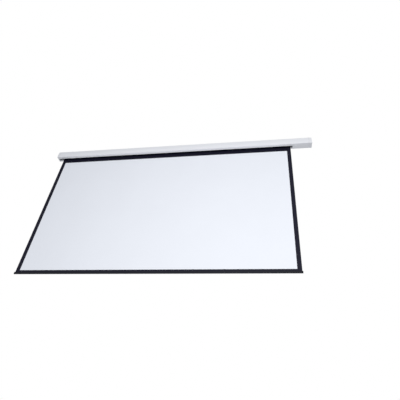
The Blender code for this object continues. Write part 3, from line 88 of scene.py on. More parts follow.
# %% The camera
LENS = 35.0
SENSOR = 36.0
CAMERA_AT = Vector((0.90468, -2.55004, -2.85861))
CAMERA_RIGHT = Vector((0.9851, 0.1512, 0.0823))
CAMERA_DOWN = Vector((-0.0347, 0.6426, -0.7654))
CLIP_START = 0.05


def camera_turn(right, down):
    """The turn of a camera that has these directions to its right and below it."""
    right = right.normalized()
    ahead = right.cross(down).normalized()
    up = ahead.cross(right) * -1
    return Matrix((right, up, -ahead)).transposed().to_euler()


def add_camera():
    turn = camera_turn(CAMERA_RIGHT, CAMERA_DOWN)
    bpy.ops.object.camera_add(location=CAMERA_AT, rotation=turn)
    camera = bpy.context.object
    camera.name = "photographer"
    camera.data.lens = LENS
    camera.data.sensor_width = SENSOR
    camera.data.clip_start = CLIP_START
    bpy.context.scene.camera = camera
    return camera


camera = add_camera()
print("the camera looks along", (camera.matrix_world.to_3x3() @ Vector((0, 0, -1)))[:])

# %% [markdown]
# The light is a studio's. An even surround comes from all sides and fills the shadows. It is pure
# white only where the camera sees it, as behind an object that is cut out: two backgrounds are
# mixed, and the light path says which of them a ray gets.

# %% The surround
SURROUND = (0.93, 0.95, 1.0, 1)
SURROUND_STRENGTH = 0.42
BACKGROUND = (1, 1, 1, 1)


def add_surround():
    world = bpy.data.worlds.new("studio")
    world.use_nodes = True
    tree = world.node_tree
    fill = tree.nodes["Background"]
    fill.inputs["Color"].default_value = SURROUND
    fill.inputs["Strength"].default_value = SURROUND_STRENGTH
    behind = tree.nodes.new("ShaderNodeBackground")
    behind.inputs["Color"].default_value = BACKGROUND
    seen = tree.nodes.new("ShaderNodeLightPath")
    chosen = tree.nodes.new("ShaderNodeMixShader")
    tree.links.new(seen.outputs["Is Camera Ray"], chosen.inputs["Fac"])
    tree.links.new(fill.outputs["Background"], chosen.inputs[1])
    tree.links.new(behind.outputs["Background"], chosen.inputs[2])
    tree.links.new(chosen.outputs["Shader"], tree.nodes["World Output"].inputs["Surface"])
    bpy.context.scene.world = world
    bpy.context.scene.view_settings.view_transform = "Standard"


add_surround()
print("surround:", bpy.context.scene.world.name)

# %% [markdown]
# Soft boxes give the light its direction. One large box stands almost four metres in front of the
# screen's right end. A lamp that stands far off falls off slowly, so the picture is bright over
# its right two thirds and only the left end is darker. The box is level with the picture, so the
# housing's underside gets less of it than the front does. A weaker one behind keeps the housing's
# top and back from going grey.

# %% The soft boxes
AIM = Vector((0.3, 0.0, -0.75))
BOX_SIDE = 2.4


def add_soft_box(name, place, watts):
    turn = (AIM - Vector(place)).to_track_quat("-Z", "Y").to_euler()
    bpy.ops.object.light_add(type="AREA", location=place, rotation=turn)
    light = bpy.context.object
    light.name = name
    light.data.shape = "SQUARE"
    light.data.size = BOX_SIDE
    light.data.energy = watts
    print(name, watts, "W from", place)


add_soft_box("front_soft_box", (1.11, -3.90, -1.66), 114)
add_soft_box("back_soft_box", (-0.8, 3.2, 1.4), 70)

# %% [markdown]
# A finish is a Principled shader. What is the same all over the surface is a plain number on the
# shader's own socket, and only what varies is linked to other nodes.

# %% Start a finish
finishes = {}


def shader_of(finish):
    return finish.node_tree.nodes["Principled BSDF"]


def new_finish(name, colour, roughness, metallic=0.0, **sockets):
    """A material with plain numbers on its shader's own sockets."""
    finish = bpy.data.materials.new(name)
    finish.use_nodes = True
    finish.diffuse_color = (*colour, 1)
    shader = shader_of(finish)
    shader.inputs["Base Color"].default_value = (*colour, 1)
    shader.inputs["Roughness"].default_value = roughness
    shader.inputs["Metallic"].default_value = metallic
    for socket, value in sockets.items():
        shader.inputs[socket.replace("_", " ")].default_value = value
    finishes[name] = finish
    return finish


def node_of(finish, kind, **inputs):
    """A new shader node with values on its sockets."""
    made = finish.node_tree.nodes.new(kind)
    for socket, value in inputs.items():
        made.inputs[socket.replace("_", " ")].default_value = value
    return made


def join(finish, source, target):
    finish.node_tree.links.new(source, target)


# %% [markdown]
# What varies comes from patterns: a number at every place, worked out from the place itself.
# Object coordinates are metres here, because every piece's object sits at the origin, so a
# pattern has a real size and runs on from one piece to the next. It can be stretched along an
# axis, laid out over another range, or put through Blender's math operations.

# %% Patterns
def place_of(finish, stretch=(1, 1, 1), centre=(0, 0, 0)):
    """Object coordinates, in metres from a centre, with each axis stretched."""
    where = node_of(finish, "ShaderNodeTexCoord")
    shift = [-share * far for share, far in zip(stretch, centre)]
    scaled = node_of(finish, "ShaderNodeMapping", Scale=stretch, Location=shift)
    join(finish, where.outputs["Object"], scaled.inputs["Vector"])
    return scaled.outputs["Vector"]


def noise(finish, scale, stretch=(1, 1, 1), detail=3.0):
    made = node_of(finish, "ShaderNodeTexNoise", Scale=scale, Detail=detail)
    join(finish, place_of(finish, stretch), made.inputs["Vector"])
    return made.outputs["Fac"]


def spread(finish, pattern, low, high, start=0.3, end=0.7):
    """A pattern's useful range, start to end, laid out from low to high."""
    made = node_of(
        finish, "ShaderNodeMapRange", From_Min=start, From_Max=end, To_Min=low, To_Max=high
    )
    join(finish, pattern, made.inputs["Value"])
    return made.outputs["Result"]


def calculate(finish, operation, *values):
    """One of Blender's math operations on patterns and plain numbers."""
    made = node_of(finish, "ShaderNodeMath")
    made.operation = operation
    for socket, value in zip(made.inputs, values):
        if isinstance(value, (int, float)):
            socket.default_value = value
        else:
            join(finish, value, socket)
    return made.outputs["Value"]


# %% [markdown]
# A pattern can do three things to a finish: change its colour, change its gloss, or raise small
# hills that only the light feels. Real surfaces vary by a few per cent at most, so the two
# colours of a tint are mostly one colour, made a little lighter and a little darker.

# %% What a pattern changes
def tint(finish, pattern, first, second, start=0.35, end=0.65):
    """The base colour runs from the first to the second as the pattern goes from start to end."""
    ramp = node_of(finish, "ShaderNodeValToRGB")
    ramp.color_ramp.elements[0].position = start
    ramp.color_ramp.elements[0].color = (*first, 1)
    ramp.color_ramp.elements[1].position = end
    ramp.color_ramp.elements[1].color = (*second, 1)
    join(finish, pattern, ramp.inputs["Fac"])
    join(finish, ramp.outputs["Color"], shader_of(finish).inputs["Base Color"])


def gloss(finish, pattern, low, high):
    """The roughness runs from low to high over the pattern."""
    join(finish, spread(finish, pattern, low, high), shader_of(finish).inputs["Roughness"])


def relief(finish, height, distance, strength=1.0):
    """Small hills of this height, in metres, that only the light feels."""
    bump = node_of(finish, "ShaderNodeBump", Strength=strength, Distance=distance)
    join(finish, height, bump.inputs["Height"])
    join(finish, bump.outputs["Normal"], shader_of(finish).inputs["Normal"])


def around(colour, share):
    """A colour made lighter, or darker with a share below zero."""
    return tuple(min(1.0, max(0.0, channel * (1 + share))) for channel in colour)


# %% [markdown]
# Powder coat is sprayed on as dust and baked. It flows into a skin with a faint orange peel,
# hills a millimetre or two across and some hundredths of a millimetre high. The housing has a
# white one and the weight bar a black one. A slow drift of tone keeps two and a half metres of it
# from looking like a drawing.

# %% Paints
HOUSING_WHITE = (0.85, 0.86, 0.89)
BAR_BLACK = (0.008, 0.008, 0.015)
MOTOR_GREY = (0.10, 0.105, 0.11)


def powder_coat(name, colour, low_gloss, high_gloss, drift, glint=0.5):
    """Paint with a slow drift of tone, clouds of gloss and an orange peel."""
    middle = (low_gloss + high_gloss) / 2
    finish = new_finish(name, colour, middle, IOR=1.5, Specular_IOR_Level=glint)
    slow = noise(finish, 2.1, (1, 3, 3), 2.0)
    tint(finish, slow, around(colour, -drift), around(colour, drift))
    gloss(finish, noise(finish, 34, (0.35, 1, 1), 4.0), low_gloss, high_gloss)
    peel = noise(finish, 520, detail=1.5)
    relief(finish, peel, 0.00006, 0.5)


powder_coat("housing_paint", HOUSING_WHITE, 0.36, 0.48, 0.012)
powder_coat("bar_paint", BAR_BLACK, 0.42, 0.56, 0.12, 0.25)
powder_coat("motor_paint", MOTOR_GREY, 0.34, 0.46, 0.06)
print("paints:", sorted(finishes))

# %% [markdown]
# Moulded plastic carries the spark-eroded grain of its mould: fine, even and sharper than paint.
# The end caps are coloured to match the housing. Plastic that rubs on steel is a slippery acetal
# with a soft shine, and the limit screws are moulded in colours that an installer can find.

# %% Plastics and rubber
def moulded(name, colour, roughness, grain, height, drift=0.02):
    """Plastic with a mould's grain of this scale and height."""
    finish = new_finish(name, colour, roughness, IOR=1.47)
    tint(finish, noise(finish, 18, detail=3.0), around(colour, -drift), around(colour, drift))
    gloss(finish, noise(finish, 90, detail=2.0), roughness - 0.05, roughness + 0.05)
    relief(finish, noise(finish, grain, detail=2.0), height, 0.6)


moulded("cap_plastic", (0.83, 0.84, 0.87), 0.48, 1400, 0.00004)
moulded("black_plastic", (0.020, 0.020, 0.023), 0.45, 1100, 0.00004, 0.08)
moulded("grey_plastic", (0.24, 0.25, 0.27), 0.50, 1100, 0.00004, 0.04)
moulded("bush_plastic", (0.78, 0.78, 0.76), 0.32, 300, 0.00001)
moulded("yellow_plastic", (0.75, 0.53, 0.05), 0.34, 300, 0.00001)
moulded("lead_rubber", (0.026, 0.026, 0.026), 0.68, 900, 0.00003, 0.08)
print("finishes so far:", len(finishes))

# %% [markdown]
# Metals. The roller is mill-finished aluminium: the die leaves fine lines along it. Brackets and
# screws are zinc plated, a bluish silver with a faint crystal pattern and a hint of straw where
# the passivation is thicker.

# %% Metals
CRYSTAL_SHARE = 0.25  # how much the crystals add to the clouds of straw


def extruded_aluminium(name, colour):
    """Bare metal with the die's fine lines along X."""
    finish = new_finish(name, colour, 0.34, 1.0)
    lines = noise(finish, 1500, (0.004, 1, 1), 2.0)
    tint(finish, noise(finish, 9, (0.2, 1, 1)), around(colour, -0.05), around(colour, 0.04))
    gloss(finish, lines, 0.26, 0.42)
    relief(finish, lines, 0.00002, 0.5)


def zinc_plate(name, colour, straw):
    """Silver that turns to straw in clouds, over small crystals."""
    finish = new_finish(name, colour, 0.36, 1.0)
    crystals = node_of(finish, "ShaderNodeTexVoronoi", Scale=420.0)
    join(finish, place_of(finish), crystals.inputs["Vector"])
    cells = crystals.outputs["Distance"]
    cloud = noise(finish, 55, detail=3.0)
    mixed = calculate(finish, "MULTIPLY_ADD", cells, CRYSTAL_SHARE, cloud)
    tint(finish, mixed, colour, straw, 0.35, 0.95)
    gloss(finish, cloud, 0.28, 0.46)
    relief(finish, cells, 0.00001, 0.4)


extruded_aluminium("tube_aluminium", (0.68, 0.69, 0.71))
zinc_plate("zinc_steel", (0.63, 0.64, 0.67), (0.66, 0.645, 0.59))

# %% [markdown]
# The circuit board is fibreglass under green lacquer. Brighter lines in the lacquer are the
# copper tracks below it.

# %% The board
def lacquered_board():
    colour = (0.02, 0.16, 0.07)
    finish = new_finish("board_green", colour, 0.28, IOR=1.55)
    tracks = node_of(finish, "ShaderNodeTexBrick", Scale=180.0, Mortar_Size=0.05)
    join(finish, place_of(finish), tracks.inputs["Vector"])
    tint(finish, tracks.outputs["Fac"], colour, (0.05, 0.27, 0.12), 0.2, 0.8)
    relief(finish, tracks.outputs["Fac"], 0.00003, 0.6)


lacquered_board()
print("metals and board:", len(finishes))

# %% [markdown]
# Projection cloth is woven glass or polyester under a matte white coat, so smooth that the weave
# is only just felt. Its back and its border are black, to keep light out of the picture. The
# weave is two sets of ridges, across and down, a little under a millimetre apart.

# %% Cloth finishes
THREAD_PITCH = 0.0009
WAVE_TURN = 20  # Blender's wave texture advances this many radians for each unit times its scale
PICTURE_WHITE = (0.860, 0.884, 0.935)
BORDER_BLACK = (0.0045, 0.0042, 0.0155)
BACKING_BLACK = (0.010, 0.010, 0.013)
COAT_GLINT = 0.2  # share of the usual mirror light: a matt coat has little
FILM_GLINT = 0.34


def ridges(finish, direction, pitch):
    """Threads that follow each other along one axis."""
    scale = 2 * pi / (WAVE_TURN * pitch)
    wave = node_of(finish, "ShaderNodeTexWave", Scale=scale, Distortion=0.4)
    wave.bands_direction = direction
    join(finish, place_of(finish), wave.inputs["Vector"])
    return wave.outputs["Fac"]


def coated_cloth(name, colour, roughness, drift, height, glint):
    """A matt coat through which a weave of this height is just felt."""
    finish = new_finish(name, colour, roughness, IOR=1.45, Specular_IOR_Level=glint)
    tint(finish, noise(finish, 3.0, detail=4.0), around(colour, -drift), around(colour, drift))
    gloss(finish, noise(finish, 60, detail=2.0), roughness - 0.06, roughness + 0.06)
    across = ridges(finish, "X", THREAD_PITCH)
    weave = calculate(finish, "MAXIMUM", across, ridges(finish, "Z", THREAD_PITCH))
    relief(finish, weave, height, 0.5)


coated_cloth("picture_cloth", PICTURE_WHITE, 0.80, 0.006, 0.00004, COAT_GLINT)
coated_cloth("border_film", BORDER_BLACK, 0.64, 0.10, 0.00003, FILM_GLINT)
coated_cloth("cloth_backing", BACKING_BLACK, 0.62, 0.10, 0.00005, COAT_GLINT)
print("finishes:", len(finishes))

# %% [markdown]
# Every solid names the slot of its material, and most slots are named like their finish. Each
# solid is painted now, whether or not something will stand for it later.

# %% Paint the solids
FINISH_OF_SLOT = {"picture_fabric": "picture_cloth", "motor_steel": "motor_paint"}


def finish_of(node):
    slot = slot_of_node[node]
    return finishes[FINISH_OF_SLOT.get(slot, slot)]


def paint(piece, *materials):
    piece.data.materials.clear()
    for material in materials:
        piece.data.materials.append(material)


for node, solid in nodes.items():
    paint(solid, finish_of(node))
print("painted:", len(nodes))

# %% [markdown]
# Blender's operators act on what is selected, as a hand would. These few helpers select one piece,
# turn its modifiers into its mesh, and shade it. Another hangs a new piece on the body of the solid
# that it stands for, so that it moves with the same body, and hides that solid.

# %% Helpers for any piece
SHARP = radians(32)  # faces that turn by more than this meet at an edge


def choose(piece):
    """Only this piece is selected, and it is active."""
    bpy.ops.object.select_all(action="DESELECT")
    piece.select_set(True)
    bpy.context.view_layer.objects.active = piece


def apply_modifiers(piece):
    choose(piece)
    for modifier in list(piece.modifiers):
        bpy.ops.object.modifier_apply(modifier=modifier.name)


def shade(piece):
    """Smooth rounds, sharp edges, and flat faces that stay flat."""
    choose(piece)
    bpy.ops.object.shade_smooth_by_angle(angle=SHARP)
    weighted = piece.modifiers.new("flat_faces", "WEIGHTED_NORMAL")
    weighted.keep_sharp = True
    apply_modifiers(piece)


def hang_on(piece, node):
    """The piece stands for a solid: it rides on its body, and the solid is hidden."""
    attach(piece, body_of_node[node])
    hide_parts(node)


# %% [markdown]
# Most solids have the right shape already. Those that are round, or that have edges the light
# should catch, get a copy of their mesh to stand for them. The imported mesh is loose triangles, so
# the copy is merged and its flat faces are made whole. Only then can its edges be bevelled and
# its rounds be shaded smooth.

# %% Helpers for copies of solids
MERGE = 1e-6  # metres; corners that are closer than this are one
FLAT = radians(0.6)  # faces that turn by less than this are one


def join_flat_faces(piece):
    """Make one face of the triangles that lie in one plane."""
    choose(piece)
    bpy.ops.object.mode_set(mode="EDIT")
    bpy.ops.mesh.select_all(action="SELECT")
    bpy.ops.mesh.dissolve_limited(angle_limit=FLAT)
    bpy.ops.object.mode_set(mode="OBJECT")


def merged_copy(node):
    """A copy of a solid with its loose triangles merged and its flat faces made whole."""
    choose(nodes[node])
    bpy.ops.object.duplicate()
    piece = bpy.context.object
    piece.name = piece.data.name = node + "_finished"
    for mark in list(piece.keys()):  # the marks of a solid belong to the solid alone
        del piece[mark]
    bpy.ops.object.parent_clear(type="CLEAR_KEEP_TRANSFORM")
    bpy.ops.mesh.customdata_custom_splitnormals_clear()
    bpy.ops.object.mode_set(mode="EDIT")
    bpy.ops.mesh.select_all(action="SELECT")
    bpy.ops.mesh.remove_doubles(threshold=MERGE)
    bpy.ops.object.mode_set(mode="OBJECT")
    join_flat_faces(piece)
    return piece


def soften(piece, width):
    """Round the edges, in steps fine enough to be shaded as one curve.

    A bevel's clamp would shrink them all to suit the shortest edge, so it is off.
    """
    bevel = piece.modifiers.new("soft_edges", "BEVEL")
    bevel.width = width
    bevel.segments = 3
    bevel.limit_method = "ANGLE"
    bevel.angle_limit = SHARP
    bevel.use_clamp_overlap = False
    bevel.loop_slide = False
    apply_modifiers(piece)


def complete(piece, node):
    """Shading, the solid's own finish and its body."""
    shade(piece)
    paint(piece, finish_of(node))
    hang_on(piece, node)


# %% [markdown]
# These are the rigid pieces that a copy improves. An extrusion's and a moulding's edges are
# rounded in their sections already, so those pieces only want smooth shading. The edges of cut
# sheet get a bevel, whose width is in metres.

# %% Refine the rigid pieces
REFINED = (
    "case_shell",
    "end_cap_left",
    "end_cap_right",
    "access_cover",
    "idler_bracket",
    "idler_pin",
    "motor_bracket",
    "motor_clip",
    "motor_body",
    "motor_head",
    "control_box_base",
    "control_box_lid",
    "capacitor",
    "roller_tube",
    "fabric_spline",
    "idler_plug",
    "idler_bush",
    "limit_crown",
    "drive_wheel",
    "weight_bar",
    "hem_rod",
    "bar_cap_left",
    "bar_cap_right",
    "upper_limit_screw",
    "lower_limit_screw",
)
SHEET_EDGES = {"access_cover": 0.0003, "idler_bracket": 0.0002, "motor_bracket": 0.0002}
for node in REFINED:
    piece = merged_copy(node)
    if node in SHEET_EDGES:
        soften(piece, SHEET_EDGES[node])
    complete(piece, node)
print("refined:", len(REFINED))

# %% [markdown]
# The motor's lead is a soft round sheath. A solid gets by with a few sides, but up close a cable
# has none, so a subdivision rounds it both across and along its bends.

# %% Round the motor's lead
lead = merged_copy("motor_lead")
rounding = lead.modifiers.new("round_sheath", "SUBSURF")
rounding.levels = rounding.render_levels = 2
apply_modifiers(lead)
complete(lead, "motor_lead")
print("lead:", len(lead.data.polygons), "faces")

# %% [markdown]
# Screws and grommets are turned pieces. A lathe's profile could be spun, but drawing a round face
# out along its axis, ring by ring, is how a hand would do it and needs no closing afterwards. A
# test picks the face: by its normal, or by its place.

# %% Helpers for turned pieces
FACING = 0.9  # a normal that has this much of an axis faces along it


def faces_up(face):
    return face.normal.z > FACING


def faces_down(face):
    return face.normal.z < -FACING


def pick_faces(piece, wanted):
    """Into edit mode, with only the faces that pass the test selected."""
    choose(piece)
    bpy.ops.object.mode_set(mode="EDIT")
    bpy.ops.mesh.select_mode(type="FACE")
    bpy.ops.mesh.select_all(action="DESELECT")
    bpy.ops.object.mode_set(mode="OBJECT")
    for face in piece.data.polygons:
        face.select = wanted(face)
    bpy.ops.object.mode_set(mode="EDIT")


def draw_rings(start, rings):
    """Draw the selected round face out along Z, through rings of a height and a radius."""
    height, radius = start
    for next_height, next_radius in rings:
        rise = {"value": (0, 0, next_height - height)}
        bpy.ops.mesh.extrude_region_move(TRANSFORM_OT_translate=rise)
        share = next_radius / radius
        bpy.ops.transform.resize(value=(share, share, 1), center_override=(0, 0, 0))
        height, radius = next_height, next_radius
    bpy.ops.object.mode_set(mode="OBJECT")


def disc(name, sides, radius, thickness):
    """A short cylinder that stands on the origin, to draw the rest out of."""
    bpy.ops.object.select_all(action="DESELECT")
    bpy.ops.mesh.primitive_cylinder_add(
        vertices=sides, radius=radius, depth=thickness, location=(0, 0, thickness / 2)
    )
    piece = bpy.context.object
    piece.name = piece.data.name = name
    bpy.ops.object.transform_apply(location=True, rotation=True, scale=True)
    return piece


# %% [markdown]
# Ten screws hold it together: three through each end cap into the housing's screw ports, one in
# each bracket plate and two in the control box. Their solids are plain, but they say where each
# screw is. A screw lies along the axis that it is longest on, and its head is at the end that is
# wider.

# %% Find the screws
SCREWS = sorted(node for node in nodes if "screw" in node and "limit" not in node)
END_SLICE = 0.0003


def reach_at(node, end, axis):
    """How far a solid reaches from its middle line, close to one end."""
    low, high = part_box(node)
    middle = (low + high) / 2
    reaches = []
    for vertex in nodes[node].data.vertices:
        if abs(vertex.co[axis] - end[axis]) < END_SLICE:
            away = vertex.co - middle
            away[axis] = 0
            reaches.append(away.length)
    return max(reaches)


def screw_place(node):
    """Where the head's top is, the way the point goes, and the length."""
    low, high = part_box(node)
    size = high - low
    axis = max(range(3), key=lambda i: size[i])
    towards = Vector((0, 0, 0))
    towards[axis] = 1 if reach_at(node, low, axis) > reach_at(node, high, axis) else -1
    return (low + high) / 2 - towards * size[axis] / 2, towards, size[axis]


place_of_screw = {node: screw_place(node) for node in SCREWS}
for node, (top, towards, length) in place_of_screw.items():
    print(node, "is", round(length, 4), "m long and points along", towards[:])

# %% [markdown]
# A pan head is a low dome, and the thread is what a bare cylinder never looks like up close. It
# is a row of ridges instead of one helix: nobody can tell at this size, and the rings stay
# closed.

# %% The screw's head and thread
HEAD_SIDES = 24
HEAD_RIM = (0.00025, 0.0032)  # height over the head's seat, and radius
DOME = (
    (0.00085, 0.00315),
    (0.00145, 0.0029),
    (0.00188, 0.0023),
    (0.0021, 0.0015),
    (0.0022, 0.0007),
)
HEAD_HEIGHT = DOME[-1][0]
THREAD_CREST = 0.0015
THREAD_CORE = 0.00115
THREAD_STEP = 0.00125
POINT_LENGTH = 0.0016
POINT_RADIUS = 0.0005


def thread_rings(length):
    """The ridges below the head and the blunt point, for a shank of this length."""
    ridges_end = length - POINT_LENGTH
    count = int(ridges_end / THREAD_STEP)
    rings = [(0.0, THREAD_CORE)]
    for i in range(count):
        rings.append((-THREAD_STEP * (i + 0.5), THREAD_CREST))
        rings.append((-THREAD_STEP * (i + 1), THREAD_CORE))
    return rings + [(-ridges_end, THREAD_CORE), (-length, POINT_RADIUS)]


print("the head:", HEAD_HEIGHT, "high, a shank of 0.01:", len(thread_rings(0.01)), "rings")

# %% [markdown]
# The cross is cut by a punch, as in the real head: a thin block that stands in the head's top and
# tapers towards its foot. It is used once along each arm, and each cut becomes part of the mesh
# before the next.

# %% Press a cross
CROSS_SPAN = 0.0034
CROSS_WIDTH = 0.00085
CROSS_DEPTH = 0.0014
CROSS_TAPER = 0.4


def press_cross(screw):
    for turn in (0, pi / 2):
        bpy.ops.object.select_all(action="DESELECT")
        place = (0, 0, HEAD_HEIGHT)
        bpy.ops.mesh.primitive_cube_add(size=1, location=place, rotation=(0, 0, turn))
        punch = bpy.context.object
        punch.scale = (CROSS_SPAN, CROSS_WIDTH, 2 * CROSS_DEPTH)
        bpy.ops.object.transform_apply(location=True, rotation=True, scale=True)
        pick_faces(punch, faces_down)
        bpy.ops.transform.resize(value=(CROSS_TAPER, CROSS_TAPER, 1), center_override=(0, 0, 0))
        bpy.ops.object.mode_set(mode="OBJECT")
        cut = screw.modifiers.new("cross", "BOOLEAN")
        cut.operation = "DIFFERENCE"
        cut.solver = "EXACT"
        cut.object = punch
        apply_modifiers(screw)
        bpy.data.objects.remove(punch)


# %% [markdown]
# The screws differ only in length, so each length is modelled once. Its head's seat is at the
# origin and its point goes down.

# %% Model a screw of each length
def model_screw(length):
    """The head's rim, drawn up into the dome and down into the thread."""
    rim_height, rim_radius = HEAD_RIM
    screw = disc("screw_pattern", HEAD_SIDES, rim_radius, rim_height)
    pick_faces(screw, faces_up)
    draw_rings(HEAD_RIM, DOME)
    pick_faces(screw, faces_down)
    draw_rings((0.0, rim_radius), thread_rings(length - HEAD_HEIGHT))
    press_cross(screw)
    shade(screw)
    paint(screw, finishes["zinc_steel"])
    return screw


pattern_of_length = {}
for top, towards, length in place_of_screw.values():
    if round(length, 4) not in pattern_of_length:
        pattern = model_screw(length)
        pattern_of_length[round(length, 4)] = pattern
        print("a screw of", round(length, 4), "m:", len(pattern.data.polygons), "faces")

# %% [markdown]
# Every solid screw gets a copy of its length's pattern with a mesh of its own. It is laid along
# the solid's axis and given a turn about it, because no two screws stop with their crosses alike.

# %% Put each screw where its solid is
TURN_OF_NEXT = radians(37)

for count, node in enumerate(SCREWS):
    top, towards, length = place_of_screw[node]
    choose(pattern_of_length[round(length, 4)])
    bpy.ops.object.duplicate()
    screw = bpy.context.object
    screw.name = screw.data.name = node + "_finished"
    own_turn = Matrix.Rotation(count * TURN_OF_NEXT, 3, "Z")
    turn = Vector((0, 0, -1)).rotation_difference(towards).to_matrix() @ own_turn
    screw.rotation_euler = turn.to_euler()
    screw.location = top + towards * HEAD_HEIGHT
    bpy.ops.object.transform_apply(location=True, rotation=True, scale=True)
    hang_on(screw, node)
for pattern in pattern_of_length.values():
    bpy.data.objects.remove(pattern)
print("screws in place:", len(SCREWS))

# %% [markdown]
# The wall brackets are angles of bent sheet. The rounding of a solid's corners left their outer
# edge a fraction of a millimetre off the sheet's plane, and a bevel would make more of that, so
# the corners are pressed flat first.

# %% Finish the wall brackets
BRACKET_EDGE = 0.0003
CORNER_REACH = 0.0065  # from a free end of the sheet
CORNER_SLIP = 0.0005  # no corner is further off its plane


def press_corners_flat(bracket, node):
    """Bring the corners back onto the planes of the wall and of the foot's underside."""
    low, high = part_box(node)
    for vertex in bracket.data.vertices:
        place = vertex.co
        if high.z - place.z < CORNER_REACH and high.y - place.y < CORNER_SLIP:
            place.y = high.y
        if place.y - low.y < CORNER_REACH and place.z - low.z < CORNER_SLIP:
            place.z = low.z
    join_flat_faces(bracket)


for node in ("wall_bracket_left", "wall_bracket_right"):
    bracket = merged_copy(node)
    press_corners_flat(bracket, node)
    soften(bracket, BRACKET_EDGE)
    complete(bracket, node)
    print(bracket.name, len(bracket.data.polygons), "faces")

# %% [markdown]
# Each wall bracket is held by a bolt whose head slides in the housing's rail, and by a flange
# nut. The bolt's end stands two millimetres out of the nut, so it shows its thread: the shank is
# cut across at every half pitch, and each second cut is drawn in to the thread's root. The solids
# keep a clearance between nut and bracket, and here the nut's flange is drawn down to sit on the
# sheet.

# %% Fasten the brackets
BOLT_PITCH = 0.001
BOLT_ROOT = 0.9  # share of the shank's radius
BOLT_CHAMFER = 0.0005
BOLT_RIDGES = 3
SEAT_DROP = 0.00028


def cut_along(place, normal):
    """Cut everything that is being edited along a plane, and leave the cut selected."""
    bpy.ops.mesh.select_all(action="SELECT")
    bpy.ops.mesh.bisect(plane_co=place, plane_no=normal)


def cut_thread(bolt, node):
    """Ridges round an upright shank, from its chamfer down into the nut."""
    low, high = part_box(node)
    x, y = (low.x + high.x) / 2, (low.y + high.y) / 2
    choose(bolt)
    bpy.ops.object.mode_set(mode="EDIT")
    bpy.ops.mesh.select_mode(type="VERT")
    for step in range(1, 2 * BOLT_RIDGES + 1):
        place = (x, y, high.z - BOLT_CHAMFER - step * BOLT_PITCH / 2)
        cut_along(place, (0, 0, 1))
        if step % 2:
            bpy.ops.transform.resize(value=(BOLT_ROOT, BOLT_ROOT, 1), center_override=place)
    bpy.ops.object.mode_set(mode="OBJECT")


def seat_nut(nut):
    """Draw the flange's underside down onto the bracket."""
    pick_faces(nut, faces_down)
    bpy.ops.transform.translate(value=(0, 0, -SEAT_DROP))
    bpy.ops.object.mode_set(mode="OBJECT")


for side in ("left", "right"):
    bolt = merged_copy("rail_bolt_" + side)
    cut_thread(bolt, "rail_bolt_" + side)
    complete(bolt, "rail_bolt_" + side)
    nut = merged_copy("rail_nut_" + side)
    seat_nut(nut)
    complete(nut, "rail_nut_" + side)
    print(side, "bolt:", len(bolt.data.polygons), "faces, nut:", len(nut.data.polygons), "faces")

# %% [markdown]
# A rubber grommet lines the cable hole in the right cap. It is one ring with a groove round it: a
# flange outside, a flange inside and a neck between them that fills the hole. It is drawn out
# from the inner flange ring by ring, and then its two end faces are opened and bridged to make
# the bore.

# %% Model the grommet
GROMMET_SIDES = 48
GROMMET_BORE = 0.004
GROMMET_NECK = 0.0067
FLANGE_INSIDE = 0.0017
FLANGE_OUTSIDE = 0.0018
FLANGE_EDGE = 0.0006
BORE_EDGE = 0.0008
EDGE_MIDDLE = 0.3  # of an edge's radius: how far the middle of its arc is in from the corner


def grommet_rings(length, rim):
    """From the inner flange through the neck to the rounded outer flange and the bore."""
    shoulder = length - FLANGE_OUTSIDE
    return (
        (FLANGE_INSIDE, GROMMET_NECK),
        (shoulder, GROMMET_NECK),
        (shoulder, rim),
        (length - FLANGE_EDGE, rim),
        (length - FLANGE_EDGE * EDGE_MIDDLE, rim - FLANGE_EDGE * EDGE_MIDDLE),
        (length, rim - FLANGE_EDGE),
        (length, GROMMET_BORE + BORE_EDGE),
        (length - BORE_EDGE * EDGE_MIDDLE, GROMMET_BORE + BORE_EDGE * EDGE_MIDDLE),
        (length - BORE_EDGE, GROMMET_BORE),
    )


def model_grommet():
    """Drawn out along Z from its inner flange, bored, and turned to lie along X."""
    low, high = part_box("cable_grommet")
    length = high.x - low.x
    rim = (high.z - low.z) / 2
    grommet = disc("cable_grommet_finished", GROMMET_SIDES, rim, FLANGE_INSIDE)
    pick_faces(grommet, faces_up)
    draw_rings((FLANGE_INSIDE, rim), grommet_rings(length, rim))
    pick_faces(grommet, lambda face: face.center.z < MERGE)
    draw_rings((0.0, rim), ((0.0, GROMMET_BORE),))
    pick_faces(grommet, lambda face: len(face.vertices) == GROMMET_SIDES)
    bpy.ops.mesh.delete(type="FACE")
    bpy.ops.mesh.select_mode(type="EDGE")
    bpy.ops.mesh.select_non_manifold()
    bpy.ops.mesh.bridge_edge_loops()
    bpy.ops.object.mode_set(mode="OBJECT")
    grommet.rotation_euler = (0, pi / 2, 0)
    grommet.location = (low.x, (low.y + high.y) / 2, (low.z + high.z) / 2)
    bpy.ops.object.transform_apply(location=True, rotation=True, scale=True)
    shade(grommet)
    paint(grommet, finishes["lead_rubber"])
    hang_on(grommet, "cable_grommet")
    return grommet


grommet = model_grommet()
print("grommet:", len(grommet.data.polygons), "faces")

# %% [markdown]
# The cloth. It is two and a quarter metres wide and hangs a metre and a third. Its solids say how
# large it is, and the corners of the border's solid say where the picture is. Without side
# tension such cloth is never quite flat: long shallow waves run down it, deepest in the middle of
# the drop, and none at the roller or at the bar, which hold it straight.

# %% The picture cloth's sizes
cloth_low, cloth_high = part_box("screen_fabric")
film_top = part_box("black_border")[1].z
CLOTH_WIDTH = cloth_high.x - cloth_low.x
CLOTH_DROP = cloth_high.z - cloth_low.z
CLOTH_THICKNESS = 0.0005
FILM_THICKNESS = 0.0002
FILM_GAP = 0.00005
WAVES = ((0.62, 0.00045, 0.4), (0.37, 0.00030, 2.1), (0.23, 0.00014, 4.0))  # length, depth, start
HOLD = 1.5  # how gently the waves begin below the roller and above the bar


